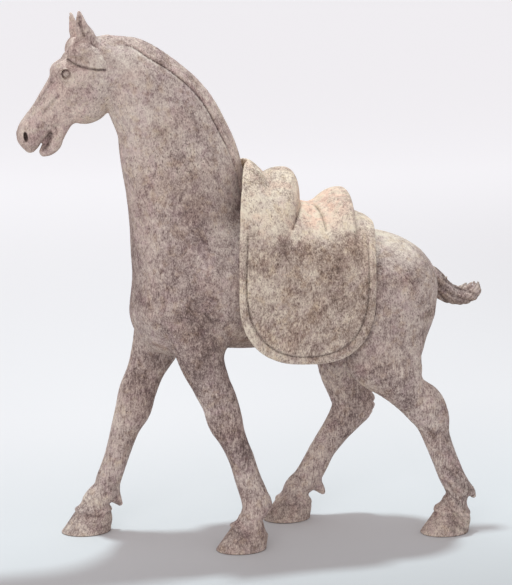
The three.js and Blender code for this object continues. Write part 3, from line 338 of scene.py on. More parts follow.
def horse(P):
    x, y, z = P.T
    M = np.stack([x, -np.abs(y), z], 1)  # both sides at once
    d = F_NECK(P)
    d = smin(d, F_BARREL(P), 30)
    d = smin(d, F_BREAST(P), 26)
    for g in (F_HAUNCH, F_SHOULDER):
        d = smin(d, g(M), 20)
        d = smin(d, g(M * (1, -1, 1)), 20)
    s = np.nonzero((z > 400) & (x < -90))[0]
    if len(s):
        Q, R, e = P[s], M[s], d[s]
        h = smin(F_HEAD(Q), F_CHEEK(Q), 6)
        h = smin(h, F_FOREHEAD(Q), 6)
        h = smin(h, F_BROW(R), 5)
        # a wide meeting at the poll, a tight one at the throat
        e = smin(e, h, 4 + 12 * np.clip((Q[:, 2] - 486) / 34, 0, 1))
        e = smin(e, F_LIP(Q), 5)
        e = smin(e, F_JAW(Q), 5)
        e = smin(e, F_NOSTRIL_RIM(R), 4)
        e = smax(e, -F_GAP(Q), 1.5)
        e = smax(e, -F_CORNER(R), 2)
        e = smax(e, -F_NOSTRIL(R), 1.5)
        # eye: a lid, a ring cut inside it, the ball and its pupil
        eye = np.linalg.norm(R - EYE, axis=1)
        e = smin(e, smax(np.abs(eye - 5.6) - 0.9, np.abs(R[:, 1] - EYE[1]) - 2.4, 1.5), 2)
        e = e + 1.5 * np.exp(-(((eye - 4.4) / 0.9) ** 2))
        e = smin(e, np.linalg.norm(R - EYE - (0.3, 1.4, 0), axis=1) - 3.7, 0.8)
        e = e + 0.8 * np.exp(-((np.linalg.norm((R - EYE)[:, ::2], axis=1) / 1.2) ** 2)) * (R[:, 1] < -12)
        for k, g in enumerate(F_EARS):
            e = smin(e, g(Q), 4)
        e = smin(e, F_LOCK(R), 1.4)
        # the hollow of each ear: a slot down its outer side
        for side, dx in ((-1, 0.0), (1, -7.0)):
            slot = rounded([(-173 + dx, 0, 590), (-172.8 + dx, 0, 584), (-171.9 + dx, 0, 577.5), (-168.8 + dx, 0, 569.5)])
            e = e + 2.4 * np.exp(-((path_distance(Q * (1, 0, 1), slot, 8) / 1.45) ** 2)) * step(12, 14, Q[:, 1] * side)
        e = e + cut_lines(R, BOTH[:6], flat=True) * step(4, 8, np.abs(Q[:, 1]))
        d[s] = e
    # cut border of the cropped mane, set in from the crest
    s = np.nonzero((z > 372) & (x > -150) & (x + z > 388))[0]
    if len(s):
        n = mane_line(x[s], z[s])
        deep = (0.35 + 0.65 * np.clip((z[s] - 425) / 40, 0, 1)) * np.clip((x[s] + 134) / 26, 0, 1)
        d[s] += deep * (1.7 * np.exp(-((n / 1.05) ** 2)) - 0.55 * np.exp(-(((n + 2.6) / 1.6) ** 2)) - 0.3 * np.exp(-(((n - 4) / 2.6) ** 2)))
    s = np.nonzero(z < 290)[0]
    if len(s):
        e = d[s]
        for g, blend in zip(FEET, (10, 10, 14, 14)):
            e = smin(e, g(P[s]), blend)
        e = smin(e, F_HAM(P[s]), 7)
        d[s] = e
    s = np.nonzero(x > 185)[0]
    if len(s):
        Q, e = P[s], d[s]
        tail = F_TAIL(Q)
        tail = tail + (1.7 * np.exp(-((locks(Q) / 0.45) ** 2)) - 0.5) * np.clip((Q[:, 0] - 226) / 8, 0, 1) + 0.85 * strands(Q, 1.05) - 0.2
        for g in F_TUFTS:
            tail = smin(tail, g(Q), 1.6)
        d[s] = smin(e, tail, 1.6)
    d = d + cut_lines(M, BOTH[6:]) + cut_lines(P, ONE)
    return np.maximum(d, -z)


def curve(pairs):
    xs, ys = np.array(pairs, float).T
    m = np.gradient(ys, xs)

    def f(x):
        i = np.clip(np.searchsorted(xs, x) - 1, 0, len(xs) - 2)
        h = xs[i + 1] - xs[i]
        t = np.clip((x - xs[i]) / h, 0, 1)
        return (2 * t ** 3 - 3 * t * t + 1) * ys[i] + (t ** 3 - 2 * t * t + t) * h * m[i] + (3 * t * t - 2 * t ** 3) * ys[i + 1] + (t ** 3 - t * t) * h * m[i + 1]

    return f


top_line = curve(TOP_LINE)


def arch(P, inset):
    x, y, z = P.T
    return oval(y, np.maximum(z - SPRING, 0), FLAP_HALF - inset, top_line(x) - inset - SPRING, -25)


def hump(P, o):
    x, y, z = P.T
    h, w = o["top"] - SPRING, FLAP_HALF - 0.3
    dx = x - o["x"] - o["lean"] * (np.minimum(z, o["top"]) - o["top"])
    R, n = np.where(dx > 0, o["fore"], o["back"]), np.where(dx > 0, o["p_fore"], o["p_back"])
    t, zz = np.abs(dx) / R + 1e-6, np.maximum(z - SPRING, 0)
    G = np.sqrt((n * t ** (n - 1) / R) ** 2 + (2 * y / w ** 2) ** 2 + (2 * zz / h ** 2) ** 2) + 0.02
    return np.clip((t ** n + (y / w) ** 2 + (zz / h) ** 2 - 1) / G, -20, 60)


def outline(P):
    x, y, z = P.T
    ay = np.abs(y)
    front = -15 + 0.34 * np.maximum(FLAP_HALF - ay, 0) + 5 * np.clip(1 - ay / 30, 0, 1) ** 2
    rear = 158 - 0.24 * ay
    bottom = 212.5 + 0.0012 * (x - 80) ** 2
    return smax(smax(front - x, x - rear, 10), bottom - z, 66)


def saddle(P):
    z = P[:, 2]
    M = np.stack([P[:, 0], -np.abs(P[:, 1]), z], 1)
    cut = outline(P)
    d = smin(smin(arch(P, 0), hump(P, POMMEL), 3), hump(P, CANTLE), 3)
    # border: a line cut round the blanket, its rim a little raised
    low = np.clip((SPRING + 62 - z) / 12, 0, 1)
    wave = 0.35 * np.sin(z / 13) + 0.3 * np.sin(P[:, 0] / 11)
    d = d + low * (1.15 * np.exp(-(((cut + 9 + wave) / 0.95) ** 2)) - 0.45 * np.exp(-(((cut + 5 + wave) / 2.4) ** 2)) - 0.25 * np.exp(-(((cut + 12 + wave) / 1.6) ** 2)))
    d = d + cut_lines(M, FOLDS[:3], flat=True) * step(4, 12, -M[:, 1]) + cut_lines(M, FOLDS[3:])
    d = smax(d, -arch(P, SHEET), 1.5)
    d = smax(d, cut, 2.4)
    near = np.nonzero(np.abs(d) < 12)[0]
    if len(near):
        d[near] = smax(d[near], -(horse(P[near]) - REST_GAP), 0.8)
    return d


# ---- distance field to mesh ---------------------------------------------------------------------------
def evaluate(f, P):
    parts = np.array_split(np.arange(len(P)), max(1, len(P) // 30000))
    with ThreadPoolExecutor(4) as pool:
        return np.concatenate(list(pool.map(lambda c: f(P[c]), parts)))


def doubled(A):
    for ax in range(3):
        n = A.shape[ax]
        lo, hi = np.take(A, range(n - 1), ax), np.take(A, range(1, n), ax)
        B = np.empty([2 * n - 1 if i == ax else s for i, s in enumerate(A.shape)], A.dtype)
        even, odd = [slice(None)] * 3, [slice(None)] * 3
        even[ax], odd[ax] = slice(0, None, 2), slice(1, None, 2)
        B[tuple(even)], B[tuple(odd)] = A, (lo + hi) / 2
        A = B
    return A


def sample(f, lo, hi, h):
    """The field on a grid: everywhere at 4h, then near the surface at 2h and at h."""
    lo = np.asarray(lo, float)
    n = np.ceil((np.asarray(hi, float) - lo) / (4 * h)).astype(int) + 1
    G = np.stack(np.meshgrid(*[lo[i] + 4 * h * np.arange(n[i]) for i in range(3)], indexing="ij"), -1).reshape(-1, 3)
    F = evaluate(f, G).reshape(n).astype(np.float32)
    for step, band in ((2 * h, 4 * h * 1.35), (h, 2 * h * 1.6)):
        F = doubled(F)
        near = np.argwhere(np.abs(F) < band)
        F[near[:, 0], near[:, 1], near[:, 2]] = evaluate(f, lo + near * step)
    return F, lo


def surface(F, o, h):
    nx, ny, nz = F.shape
    ins = F < 0
    corners = [(i, j, k) for i in (0, 1) for j in (0, 1) for k in (0, 1)]
    s = sum(ins[i:nx - 1 + i, j:ny - 1 + j, k:nz - 1 + k].astype(np.int8) for i, j, k in corners)
    act = (s > 0) & (s < 8)
    I = np.argwhere(act)
    idx = np.full(act.shape, -1, np.int32)
    idx[act] = np.arange(len(I))
    pos, cnt = np.zeros((len(I), 3)), np.zeros(len(I))
    val = {c: F[I[:, 0] + c[0], I[:, 1] + c[1], I[:, 2] + c[2]].astype(float) for c in corners}
    for a in corners:
        for ax in range(3):
            if a[ax]:
                continue
            b = tuple(1 if i == ax else v for i, v in enumerate(a))
            x = (val[a] < 0) != (val[b] < 0)
            t = np.where(x, val[a] / np.where(x, val[a] - val[b], 1), 0)
            p = np.tile(np.array(a, float), (len(I), 1))
            p[:, ax] += t
            pos[x] += p[x]
            cnt[x] += 1
    V = (I + pos / cnt[:, None]) * h + o
    faces = []
    for ax in range(3):
        b, c = (ax + 1) % 3, (ax + 2) % 3
        s0, s1 = [slice(None)] * 3, [slice(None)] * 3
        s0[ax], s1[ax] = slice(0, -1), slice(1, None)
        A, B = ins[tuple(s0)], ins[tuple(s1)]
        E = np.argwhere(A != B)
        E = E[(E[:, b] > 0) & (E[:, c] > 0) & (E[:, b] < F.shape[b] - 1) & (E[:, c] < F.shape[c] - 1)]
        flip = ~A[E[:, 0], E[:, 1], E[:, 2]]

        def cell(db, dc):
            q = E.copy()
            q[:, b] += db
            q[:, c] += dc
            return idx[q[:, 0], q[:, 1], q[:, 2]]

        quad = np.stack([cell(-1, -1), cell(0, -1), cell(0, 0), cell(-1, 0)], 1)
        quad[flip] = quad[flip][:, ::-1]
        faces.append(quad)
    return V, np.concatenate(faces)


def edges_of(Q):
    k = Q.shape[1]
    E = np.concatenate([Q[:, [i, (i + 1) % k]] for i in range(k)])
    return np.unique(np.sort(E, 1), axis=0)


def mean_of_neighbours(V, E):
    n = len(V)
    deg = np.bincount(E.ravel(), minlength=n).astype(float)
    deg[deg == 0] = 1
    out = np.empty_like(V)
    for a in range(V.shape[1]):
        out[:, a] = (np.bincount(E[:, 0], V[E[:, 1], a], n) + np.bincount(E[:, 1], V[E[:, 0], a], n)) / deg
    return out


def soften(V, E, rounds, down=0.5, up=-0.52, keep=None):
    for _ in range(rounds):
        for k in (down, up):
            m = (mean_of_neighbours(V, E) - V) * k
            if keep is not None:
                m *= keep[:, None]
            V = V + m
    return V


def normals_of(V, Q):
    n = np.zeros((len(V), 3))
    f = np.cross(V[Q[:, 2]] - V[Q[:, 0]], V[Q[:, -1]] - V[Q[:, 1]]) if Q.shape[1] == 4 else np.cross(V[Q[:, 1]] - V[Q[:, 0]], V[Q[:, 2]] - V[Q[:, 0]])
    for a in range(3):
        for c in range(Q.shape[1]):
            n[:, a] += np.bincount(Q[:, c], f[:, a], len(V))
    return n / (np.linalg.norm(n, axis=1)[:, None] + 1e-12)


def largest_part(V, Q):
    """The connected part with the most points."""
    lab, E = np.arange(len(V)), edges_of(Q)
    while True:
        a, b = lab[E[:, 0]], lab[E[:, 1]]
        if (a == b).all():
            break
        low = np.minimum(a, b)
        np.minimum.at(lab, a, low)
        np.minimum.at(lab, b, low)
        while (lab[lab] != lab).any():
            lab = lab[lab]
    keep = lab == np.bincount(lab).argmax()
    m = np.cumsum(keep) - 1
    return V[keep], m[Q[keep[Q].all(1)]]


# ---- relief -------------------------------------------------------------------------------------------
def noise(P, size, seed=0):
    """Smooth random field, about -1 to 1, with features of that size (one number, or one per axis)."""
    q = P / np.asarray(size, float) + 31.7 * seed + 5.13
    i = np.floor(q).astype(np.int64)
    f = q - i
    u = f * f * f * (f * (f * 6 - 15) + 10)
    out = 0
    for dx in (0, 1):
        for dy in (0, 1):
            for dz in (0, 1):
                h = ((i[:, 0] + dx) * 374761393 + (i[:, 1] + dy) * 668265263 + (i[:, 2] + dz) * 1440662683 + seed * 97) & 0xFFFFFFFF
                h = ((h ^ (h >> 13)) * 1274126177) & 0xFFFFFFFF
                h ^= h >> 16
                g = ((h & 1023) / 511.5 - 1) * (f[:, 0] - dx) + (((h >> 10) & 1023) / 511.5 - 1) * (f[:, 1] - dy) + (((h >> 20) & 1023) / 511.5 - 1) * (f[:, 2] - dz)
                w = (u[:, 0] if dx else 1 - u[:, 0]) * (u[:, 1] if dy else 1 - u[:, 1]) * (u[:, 2] if dz else 1 - u[:, 2])
                out = out + g * w
    return out * 1.35


def spot(P, centre, radius):
    """1 at a centre, falling to 0 about a radius away; radius in x, y, z."""
    q = (P - np.asarray(centre, float)) / np.asarray(radius, float)
    return np.exp(-(q * q).sum(1))


def leg_coordinates(P):
    """Coordinates that run straight down each slanting leg."""
    Q = P.copy()
    z = P[:, 2]
    low = step(250, 190, z)
    near, fore = P[:, 1] < 0, P[:, 0] < 40
    slant = np.where(fore, np.where(near, -0.34, 0.37), np.where(near, -0.35, np.where(z < 136, 0.66, 0)))
    Q[:, 0] = P[:, 0] - low * slant * (z - 130)
    return Q


# places with many dark pits, as seen on the left side and guessed elsewhere: centre, radius, strength
PITTED = [
    ((-70, -38, 440), (38, 30, 30), 1.0), ((-105, -36, 430), (16, 25, 26), 0.7), ((-88, -40, 380), (20, 30, 16), 0.5),
    ((-70, -55, 300), (26, 30, 34), 0.9), ((-50, -60, 268), (26, 25, 26), 0.8), ((-45, -60, 235), (20, 25, 20), 0.9),
    ((150, -60, 330), (26, 30, 18), 0.5), ((190, -60, 300), (22, 30, 14), 0.8), ((212, -50, 262), (18, 26, 10), 1.0),
    ((165, -66, 262), (18, 26, 14), 0.7), ((180, -60, 225), (24, 26, 20), 0.6), ((-165, -22, 500), (20, 18, 20), 0.35),
    ((-70, 40, 400), (45, 30, 40), 0.8), ((-60, 60, 290), (30, 30, 40), 0.7), ((180, 60, 290), (40, 30, 34), 0.8),
    ((200, 10, 320), (20, 30, 14), 0.5), ((-110, 20, 330), (20, 30, 40), 0.4),
]


def pitted(P):
    m = np.zeros(len(P))
    for c, r, s in PITTED:
        m = np.maximum(m, s * spot(P, c, r))
    return m


def horse_relief(P, N):
    x, y, z = P.T
    L = leg_coordinates(P)
    leg = step(235, 190, z)
    head = step(-120, -140, x) * step(440, 470, z)
    d = 0.28 * noise(P, 26, 1) + 0.16 * noise(P, 11, 2)
    d += (0.10 + 0.14 * pitted(P)) * noise(P, 4.6, 3)
    # long strokes of the modelling tool: down the legs and the neck, along the head
    strokes = noise(L, (4.2, 4.2, 34), 4) * 0.24 + noise(L, (2.6, 2.6, 20), 5) * 0.12
    d += strokes * (0.4 + 0.75 * leg) * (1 - head)
    H = np.stack([0.72 * x - 0.69 * z, y, 0.69 * x + 0.72 * z], 1)
    d += head * (0.16 * noise(H, (3.0, 3.0, 12), 6) + 0.10 * noise(P, 3.2, 7))
    # pits
    m = pitted(P)
    for size, seed, deep in ((5.0, 8, 0.55), (3.4, 9, 0.4)):
        n = noise(P * (1, 1, 0.7), size, seed)
        d -= deep * step(0.42 - 0.2 * m, 0.72 - 0.2 * m, n)
    # hair of the forelock and of the mane's cut face
    lock = np.exp(-(((x + 158) / 20) ** 2 + ((z - 543) / 14) ** 2)) * step(12, 17, np.abs(y))
    K = np.stack([0.83 * x - 0.55 * z, y, 0.55 * x + 0.83 * z], 1)
    d += lock * 0.35 * np.sin(K[:, 2] * 1.9 + 2.2 * noise(P, 9, 10)) * step(-172, -160, x)
    sole = step(0.6, 3.0, z)
    return d * sole


def saddle_relief(P, N):
    x, y, z = P.T
    d = 0.26 * noise(P, 24, 21) + 0.16 * noise(P, 9, 22) + 0.12 * noise(P, 4.2, 23)
    front = step(30, 2, x)
    d += (0.10 + 0.22 * front) * noise(P, (2.6, 2.6, 22), 24)
    for size, seed, deep in ((5.2, 25, 0.6), (3.3, 26, 0.4)):
        n = noise(P * (1, 1, 0.8), size, seed)
        m = step(350, 300, z) * 0.10
        d -= deep * step(0.44 - m, 0.74 - m, n)
    # a few big pits of lost clay
    for c, r, k in (((48.4, -75, 293.7), 4.2, 1.1), ((17, -75.5, 273.2), 3.6, 1.0), ((94.8, -76, 256), 5.0, 0.9), ((86, -76, 262), 3.4, 0.7),
                    ((60, -76, 330), 3.0, 0.6), ((36, -76, 245), 2.6, 0.7), ((60, -76, 236), 3.0, 0.7), ((20, 75, 290), 4.4, 1.0), ((90, 75.5, 262), 4.0, 0.9)):
        d -= k * np.exp(-((np.linalg.norm(P - c, axis=1) / r) ** 2)) * (0.8 + 0.6 * noise(P, 3, 27))
    return d


def to_object(name, V, Q, tris):
    """Makes the Blender mesh in metres in the shared frame, thinned to a number of triangles."""
    me = bpy.data.meshes.new(name)
    W = V.copy()
    W[:, 0] -= SHIFT_X
    W *= 0.001
    me.vertices.add(len(W))
    me.vertices.foreach_set("co", W.astype(np.float32).ravel())
    me.loops.add(Q.size)
    me.loops.foreach_set("vertex_index", Q.astype(np.int32).ravel())
    me.polygons.add(len(Q))
    me.polygons.foreach_set("loop_start", np.arange(0, Q.size, 4, dtype=np.int32))
    me.update(calc_edges=True)
    me.validate()
    ob = bpy.data.objects.new(name, me)
    bpy.context.scene.collection.objects.link(ob)
    total = 2 * len(Q)
    tri = ob.modifiers.new("tri", "TRIANGULATE")
    tri.quad_method = "SHORTEST_DIAGONAL"
    if total > tris:
        dec = ob.modifiers.new("thin", "DECIMATE")
        dec.ratio = tris / total
        dec.use_collapse_triangulate = True
    dg = bpy.context.evaluated_depsgraph_get()
    done = bpy.data.meshes.new_from_object(ob.evaluated_get(dg))
    ob.modifiers.clear()
    ob.data = done
    bpy.data.meshes.remove(me)
    done.name = name
    done.polygons.foreach_set("use_smooth", np.ones(len(done.polygons), bool))
    return ob


def read_back(ob):
    me = ob.data
    V = np.empty(len(me.vertices) * 3, np.float32)
    me.vertices.foreach_get("co", V)
    V = V.reshape(-1, 3).astype(float) * 1000
    V[:, 0] += SHIFT_X
    T = np.empty(len(me.loops), np.int32)
    me.loops.foreach_get("vertex_index", T)
    return V, T.reshape(-1, 3)


def write_masks(ob, masks):
    for k, v in masks.items():
        a = ob.data.attributes.new(k, "FLOAT", "POINT")
        a.data.foreach_set("value", np.clip(v, 0, 1).astype(np.float32))


def hollows(V, T):
    """How far each point lies in a hollow (first) or on an edge (second), at two scales."""
    E = edges_of(T)
    N = normals_of(V, T)
    c = ((mean_of_neighbours(V, E) - V) * N).sum(1, keepdims=True)
    fine = c
    for _ in range(2):
        fine = mean_of_neighbours(fine, E) * 0.6 + fine * 0.4
    S = V
    for _ in range(14):
        S = mean_of_neighbours(S, E)
    wide = ((S - V) * N).sum(1)
    return fine[:, 0], wide, N


def build(name, f, relief, lo, hi, h, tris):
    F, o = sample(f, lo, hi, h)
    V, Q = largest_part(*surface(F, o, h))
    E = edges_of(Q)
    flat = step(0.4, 1.4, V[:, 2]) if name == "pottery_horse" else np.ones(len(V))
    V = soften(V, E, 2, keep=flat)
    N = normals_of(V, Q)
    V = V + N * relief(V, N)[:, None]
    if name == "pottery_horse":
        V[:, 2] = np.maximum(V[:, 2], 0)
    return to_object(name, V, Q, tris)


horse_ob = build("pottery_horse", horse, horse_relief, (-262, -96, -7), (310, 96, 612), HORSE_CELL, HORSE_TRIS)
saddle_ob = build("pottery_saddle", saddle, saddle_relief, (-36, -90, 200), (180, 90, 446), SADDLE_CELL, SADDLE_TRIS)

# ---- where the clay is pale, stained, pink or dirty -----------------------------------------------------
V, T = read_back(horse_ob)
fine, wide, N = hollows(V, T)
x, y, z = V.T
n30, n14, n60 = noise(V, 30, 31), noise(V, 14, 32), noise(V, 60, 33)
# painted shade: the cut lines, the eye's ring, the mouth corners, nostril, ear hollow, the mane's cut border and the
# gaps between the tail's locks are marked to be darkened; the dark eyeball and the haunch blotches are the clay's own
# colour
grooves = np.zeros(len(V))
side = np.stack([x, -np.abs(y), z], 1)
for group, pts, flat in ((BOTH[:6], side, 0), (BOTH[6:], side, 1), (ONE, V, 1)):
    keep = np.array([1, flat, 1])
    for line, deep, half in group:
        if deep > 0.9:
            near = np.exp(-((path_distance(pts * keep, rounded(line) * keep, 4 * half) / (half * 0.8)) ** 2))
            grooves = np.maximum(grooves, min(1, deep / 1.9) ** 1.6 * near * (step(4, 8, np.abs(y)) if not flat else 1))
eye = np.linalg.norm(side - EYE, axis=1)
grooves = np.maximum(grooves, 0.5 * np.exp(-(((eye - 4.5) / 0.9) ** 2)))
grooves = np.maximum(grooves, 0.42 * step(4.4, 3.9, eye))
grooves = np.maximum(grooves * np.clip(0.85 + 0.6 * n14, 0.4, 1.2), 0.95 * step(2.2, 0.2, F_CORNER(side)) * step(5, 8, np.abs(y)))
slot = np.array([(-173, 0, 589), (-172.8, 0, 584), (-171.9, 0, 577.5), (-168.8, 0, 569.5)])
grooves = np.maximum(grooves, 0.55 * np.exp(-((path_distance(V * (1, 0, 1), rounded(slot), 8) / 1.3) ** 2)) * (y < -11))
# painted contact shadow along the bottom of the hooves
grooves = np.maximum(grooves, 0.8 * step(1.6, 0.5, z))
grooves = np.maximum(grooves, 0.62 * np.exp(-((locks(V) / 0.42) ** 2)) * step(229, 235, x))
grooves = np.maximum(grooves, 0.55 * strands(V, 0.8))
blotches = np.maximum.reduce([spot(V, at, r) for at, r in (((186, -50, 300), (10, 26, 9)), ((207, -48, 259), (10, 26, 6)), ((182, -56, 244), (5, 26, 5)), ((179, -56, 313), (5, 26, 4)), ((-90, -36, 468), (8, 25, 6)))])
grooves = np.maximum(grooves, 0.55 * blotches * step(-0.35, 0.35, noise(V, 5, 77)))
grooves = np.maximum(grooves, 0.85 * (F_NOSTRIL(side) < 0.4))
mane = np.zeros(len(V))
s = (z > 372) & (x > -150) & (x + z > 388)
mane[s] = mane_line(x[s], z[s])
grooves = np.maximum(grooves, np.where(s, (0.25 + 0.65 * step(430, 465, z) * step(-128, -108, x)) * np.exp(-((mane / 0.85) ** 2)), 0))
# painted shade: surfaces facing down, and the underside of the belly, are marked to be darkened with the soil colour
underside_shade = step(-0.35, -0.85, N[:, 2]) * step(90, 190, z)
belly = step(-0.1, -0.7, N[:, 2]) * (z > 200) * (np.abs(y) < 66) * (x > -40)
stain = np.maximum.reduce([
    0.9 * spot(V, (-89.7, -36, 467.7), (9, 25, 8)), 0.45 * spot(V, (-78, -40, 415), (34, 30, 26)), 0.5 * spot(V, (-60, -50, 392), (22, 30, 18)),
    0.55 * spot(V, (-60, -58, 262), (26, 30, 26)), 0.5 * spot(V, (-40, -60, 240), (20, 25, 26)), 0.5 * spot(V, (150, -50, 205), (26, 30, 26)),
    0.7 * spot(V, (172, -56, 300), (16, 26, 8)), 0.75 * spot(V, (207, -48, 258), (12, 26, 5)), 0.5 * spot(V, (196, -50, 308), (9, 26, 9)),
    0.5 * spot(V, (140, 45, 190), (40, 26, 50)), 0.35 * spot(V, (-96, 45, 170), (30, 26, 30)), 0.4 * spot(V, (-20, -50, 140), (20, 30, 10)),
])
tone = 0.5 + 0.07 * step(-105, -135, x) * (z > 440) + 0.10 * spot(V, (-95, -40, 440), (34, 40, 40)) - 0.05 * spot(V, (-75, -40, 360), (60, 40, 40))
tone += 0.045 + 0.05 * spot(V, (-120, -30, 520), (30, 40, 30)) - 0.12 * step(27, 23, z) - 0.07 * step(228, 236, x) * (z > 240)
tone += -0.19 * spot(V, (-52, -50, 215), (40, 40, 30)) - 0.10 * spot(V, (-20, -50, 125), (50, 30, 60)) - 0.05 * spot(V, (-96, 40, 200), (40, 40, 60))
tone += -0.08 * spot(V, (-90, -30, 285), (60, 60, 50)) - 0.05 * spot(V, (-60, -40, 380), (60, 60, 30)) + 0.05 * spot(V, (-90, -40, 455), (50, 60, 34))
tone += -0.05 * spot(V, (230, -48, 100), (40, 40, 50)) + 0.03 * spot(V, (190, -50, 270), (40, 40, 40)) - 0.07 * step(27, 23, z) * (x < 40) * (y < 0)
tone += 0.05 * spot(V, (175, -50, 330), (50, 60, 22)) - 0.03 * spot(V, (150, -50, 200), (34, 40, 44))
tone += 0.05 * spot(V, (-170, -30, 500), (60, 40, 60)) + 0.05 * spot(V, (-105, -40, 480), (40, 40, 40)) + 0.03 * spot(V, (-80, -40, 420), (50, 40, 24))
tone += -0.035 * spot(V, (165, -20, 330), (60, 80, 30)) - 0.03 * spot(V, (-70, -40, 350), (60, 60, 40)) - 0.02 * spot(V, (-20, -50, 130), (50, 30, 60))
tone += -0.03 * spot(V, (-50, -55, 225), (40, 40, 34)) - 0.03 * step(27, 23, z) * (x < 0) * (y < 0) + 0.06 * step(27, 23, z) * (x > 150) * (y < 0)
tone += -0.14 * np.where(s & (mane > 0), 1, 0) * step(-160, -130, x) * step(-60, -90, x) - 0.08 * step(4.4, 3.9, eye) - 0.03 * step(228, 236, x) * (z > 240)
write_masks(horse_ob, {
    "tone": tone,
    "streak": 0.15 + 0.85 * step(240, 180, z) * step(22, 34, z),
    # painted shade: hollows, fine and broad, are darkened
    "hollow": step(0.02, 0.30, fine) * 0.8 + step(0.4, 2.2, wide) * 0.35,
    "edge": step(0.03, 0.28, -fine) * 0.7 + step(0.5, 2.0, -wide) * 0.4,
    "groove": grooves,
    "pits": 0.22 + 0.78 * pitted(V) + 0.12 * n30,
    "stain": stain * (0.75 + 0.5 * n14) + 0.10 * step(0.1, 0.6, n60),
    "underside_shade": np.maximum(underside_shade * 0.6, belly),
    # cream slip in places, and painted top light: surfaces facing up, above the belly and behind the chest, are made
    # paler
    "cream_and_top_light": np.maximum.reduce([0.9 * spot(V, (165, 0, 350), (45, 50, 16)), 0.5 * step(0.45, 0.95, N[:, 2]) * (z > 300) * (x > -30), 0.7 * spot(V, (-158, 52, 38), (14, 24, 6)),
                                0.35 * step(30, 20, z)]),
    "pink": np.maximum.reduce([0.55 * step(-150, -175, x) * step(430, 460, z), 0.5 * np.where(s & (mane > 0), 1, 0), 0.5 * spot(V, (-105, 48, 150), (26, 30, 34)),
                               0.45 * spot(V, (-20, -48, 148), (26, 30, 24)), 0.35 * step(0.1, 0.5, n30), 0.4 * step(60, 40, z) * step(0.0, 0.4, n14),
                               0.5 * spot(V, (225, 0, 280), (16, 14, 16)), 0.5 * spot(V, (-115, -40, 380), (16, 30, 60))]),
})

V, T = read_back(saddle_ob)
fine, wide, N = hollows(V, T)
x, y, z = V.T
M = np.stack([x, -np.abs(y), z], 1)
n30, n14 = noise(V, 30, 41), noise(V, 14, 42)
cut = outline(V)
outside = arch(V, 3.2) > 0
rim = step(SPRING + 66, SPRING + 54, z) * outside
wave = 0.35 * np.sin(z / 13) + 0.3 * np.sin(x / 11)
# painted shade along the blanket's border cut and in the folds of the cover
grooves = rim * step(SPRING + 62, SPRING + 20, z + 0.7 * np.maximum(x - 100, 0) - 20) * 0.8 * np.exp(-(((cut + 9 + wave) / 0.9) ** 2))
for line, deep, half in FOLDS[:3]:
    if deep > 0:
        near = path_distance(M * (1, 0, 1), rounded(line) * (1, 0, 1), 5)
        grooves = np.maximum(grooves, 0.62 * np.exp(-((near / 1.15) ** 2)) * step(8, 20, np.abs(y)) * outside)
# edge of the soil that lay on the lower part: a slanting tide line
tide = np.interp(x, [-15, 12, 37, 68, 79, 91, 113, 140, 160], [363, 355, 348, 340, 345, 351, 354, 352, 350]) + 3 * n30 + 1.5 * n14
below = step(6.0, -8.0, z - tide - 3 - 4 * n30 - 3.5 * n14 - 3 * noise(V, 6, 43) - 2.5 * noise(V, 3, 44))
seat = np.exp(-(((x - 80) / 22) ** 2)) * step(352, 366, z)
write_masks(saddle_ob, {
    "streak": 0.25 + 0.4 * step(352, 375, z) * step(75, 60, x) + 0.5 * step(34, 4, x) * outside + 0.5 * step(-12, -7, cut) * step(300, 330, z),
    # painted shade: hollows of the saddle are darkened
    "hollow": step(0.02, 0.30, fine) * 0.8 + step(0.4, 2.2, wide) * 0.3,
    "edge": step(0.03, 0.28, -fine) * 0.7 + step(0.4, 1.6, -wide) * 0.6,
    "groove": grooves,
    "pits": 0.25 + 0.55 * below * (0.6 + 0.8 * n30) + 0.5 * spot(V, (94, -76, 256), (16, 20, 12)) + 0.5 * spot(V, (20, -76, 270), (12, 20, 14)),
    "stain": below * np.clip(0.08 + 0.36 * spot(V, (104, -70, 330), (36, 30, 18)) + 0.08 * spot(V, (20, -70, 325), (40, 30, 20)) + 0.3 * n30 - 0.3 * step(4, -2, -cut - 9), 0, 1),
    # tone includes painted shade: a dark band down the near side of the pommel, where it turns away from the light
    "tone": 0.5 + 0.045 * below - 0.05 * below * spot(V, (105, -70, 290), (30, 40, 50)) - 0.06 * (1 - below) * step(392, 410, z) + 0.17 * spot(V, (75, 0, 390), (28, 90, 34)) + 0.03 * below * spot(V, (15, -70, 300), (30, 40, 60)) - 0.15 * np.exp(-(((x - 51 + 0.28 * (z - 395)) / 5.5) ** 2)) * step(358, 372, z) * step(424, 412, z) * (y < 0),
    # painted shade on the inside of the blanket's arch, under the saddle
    "underside_shade": np.where(outside, 0, 0.85),
    "cream_and_top_light": (1 - below) * (0.72 + 0.4 * n30) + 0.18 * step(-11, -7, cut) * outside * (1 - 0.5 * below) + 0.22 * step(26, 2, x),
    "pink": np.maximum.reduce([seat * 0.95, (1 - below) * 0.95 * spot(V, (110, 0, 390), (26, 60, 22)), 0.6 * spot(V, (8, 0, 424), (8, 60, 20)), 0.7 * np.exp(-(((x - 68) / 8) ** 2)) * step(350, 370, z),
                               (1 - below) * 0.5 * step(-0.1, 0.4, n14), (1 - below) * 0.95 * spot(V, (96, -40, 385), (26, 60, 20)),
                               0.45 * spot(V, (133, -58, 335), (7, 26, 34)), 0.25 * step(0.15, 0.5, n30)]),
})


# ---- fired clay -----------------------------------------------------------------------------------------
def srgb(r, g, b):
    f = lambda c: (c / 255 / 12.92) if c <= 10 else ((c / 255 + 0.055) / 1.055) ** 2.4
    return (f(r), f(g), f(b), 1)


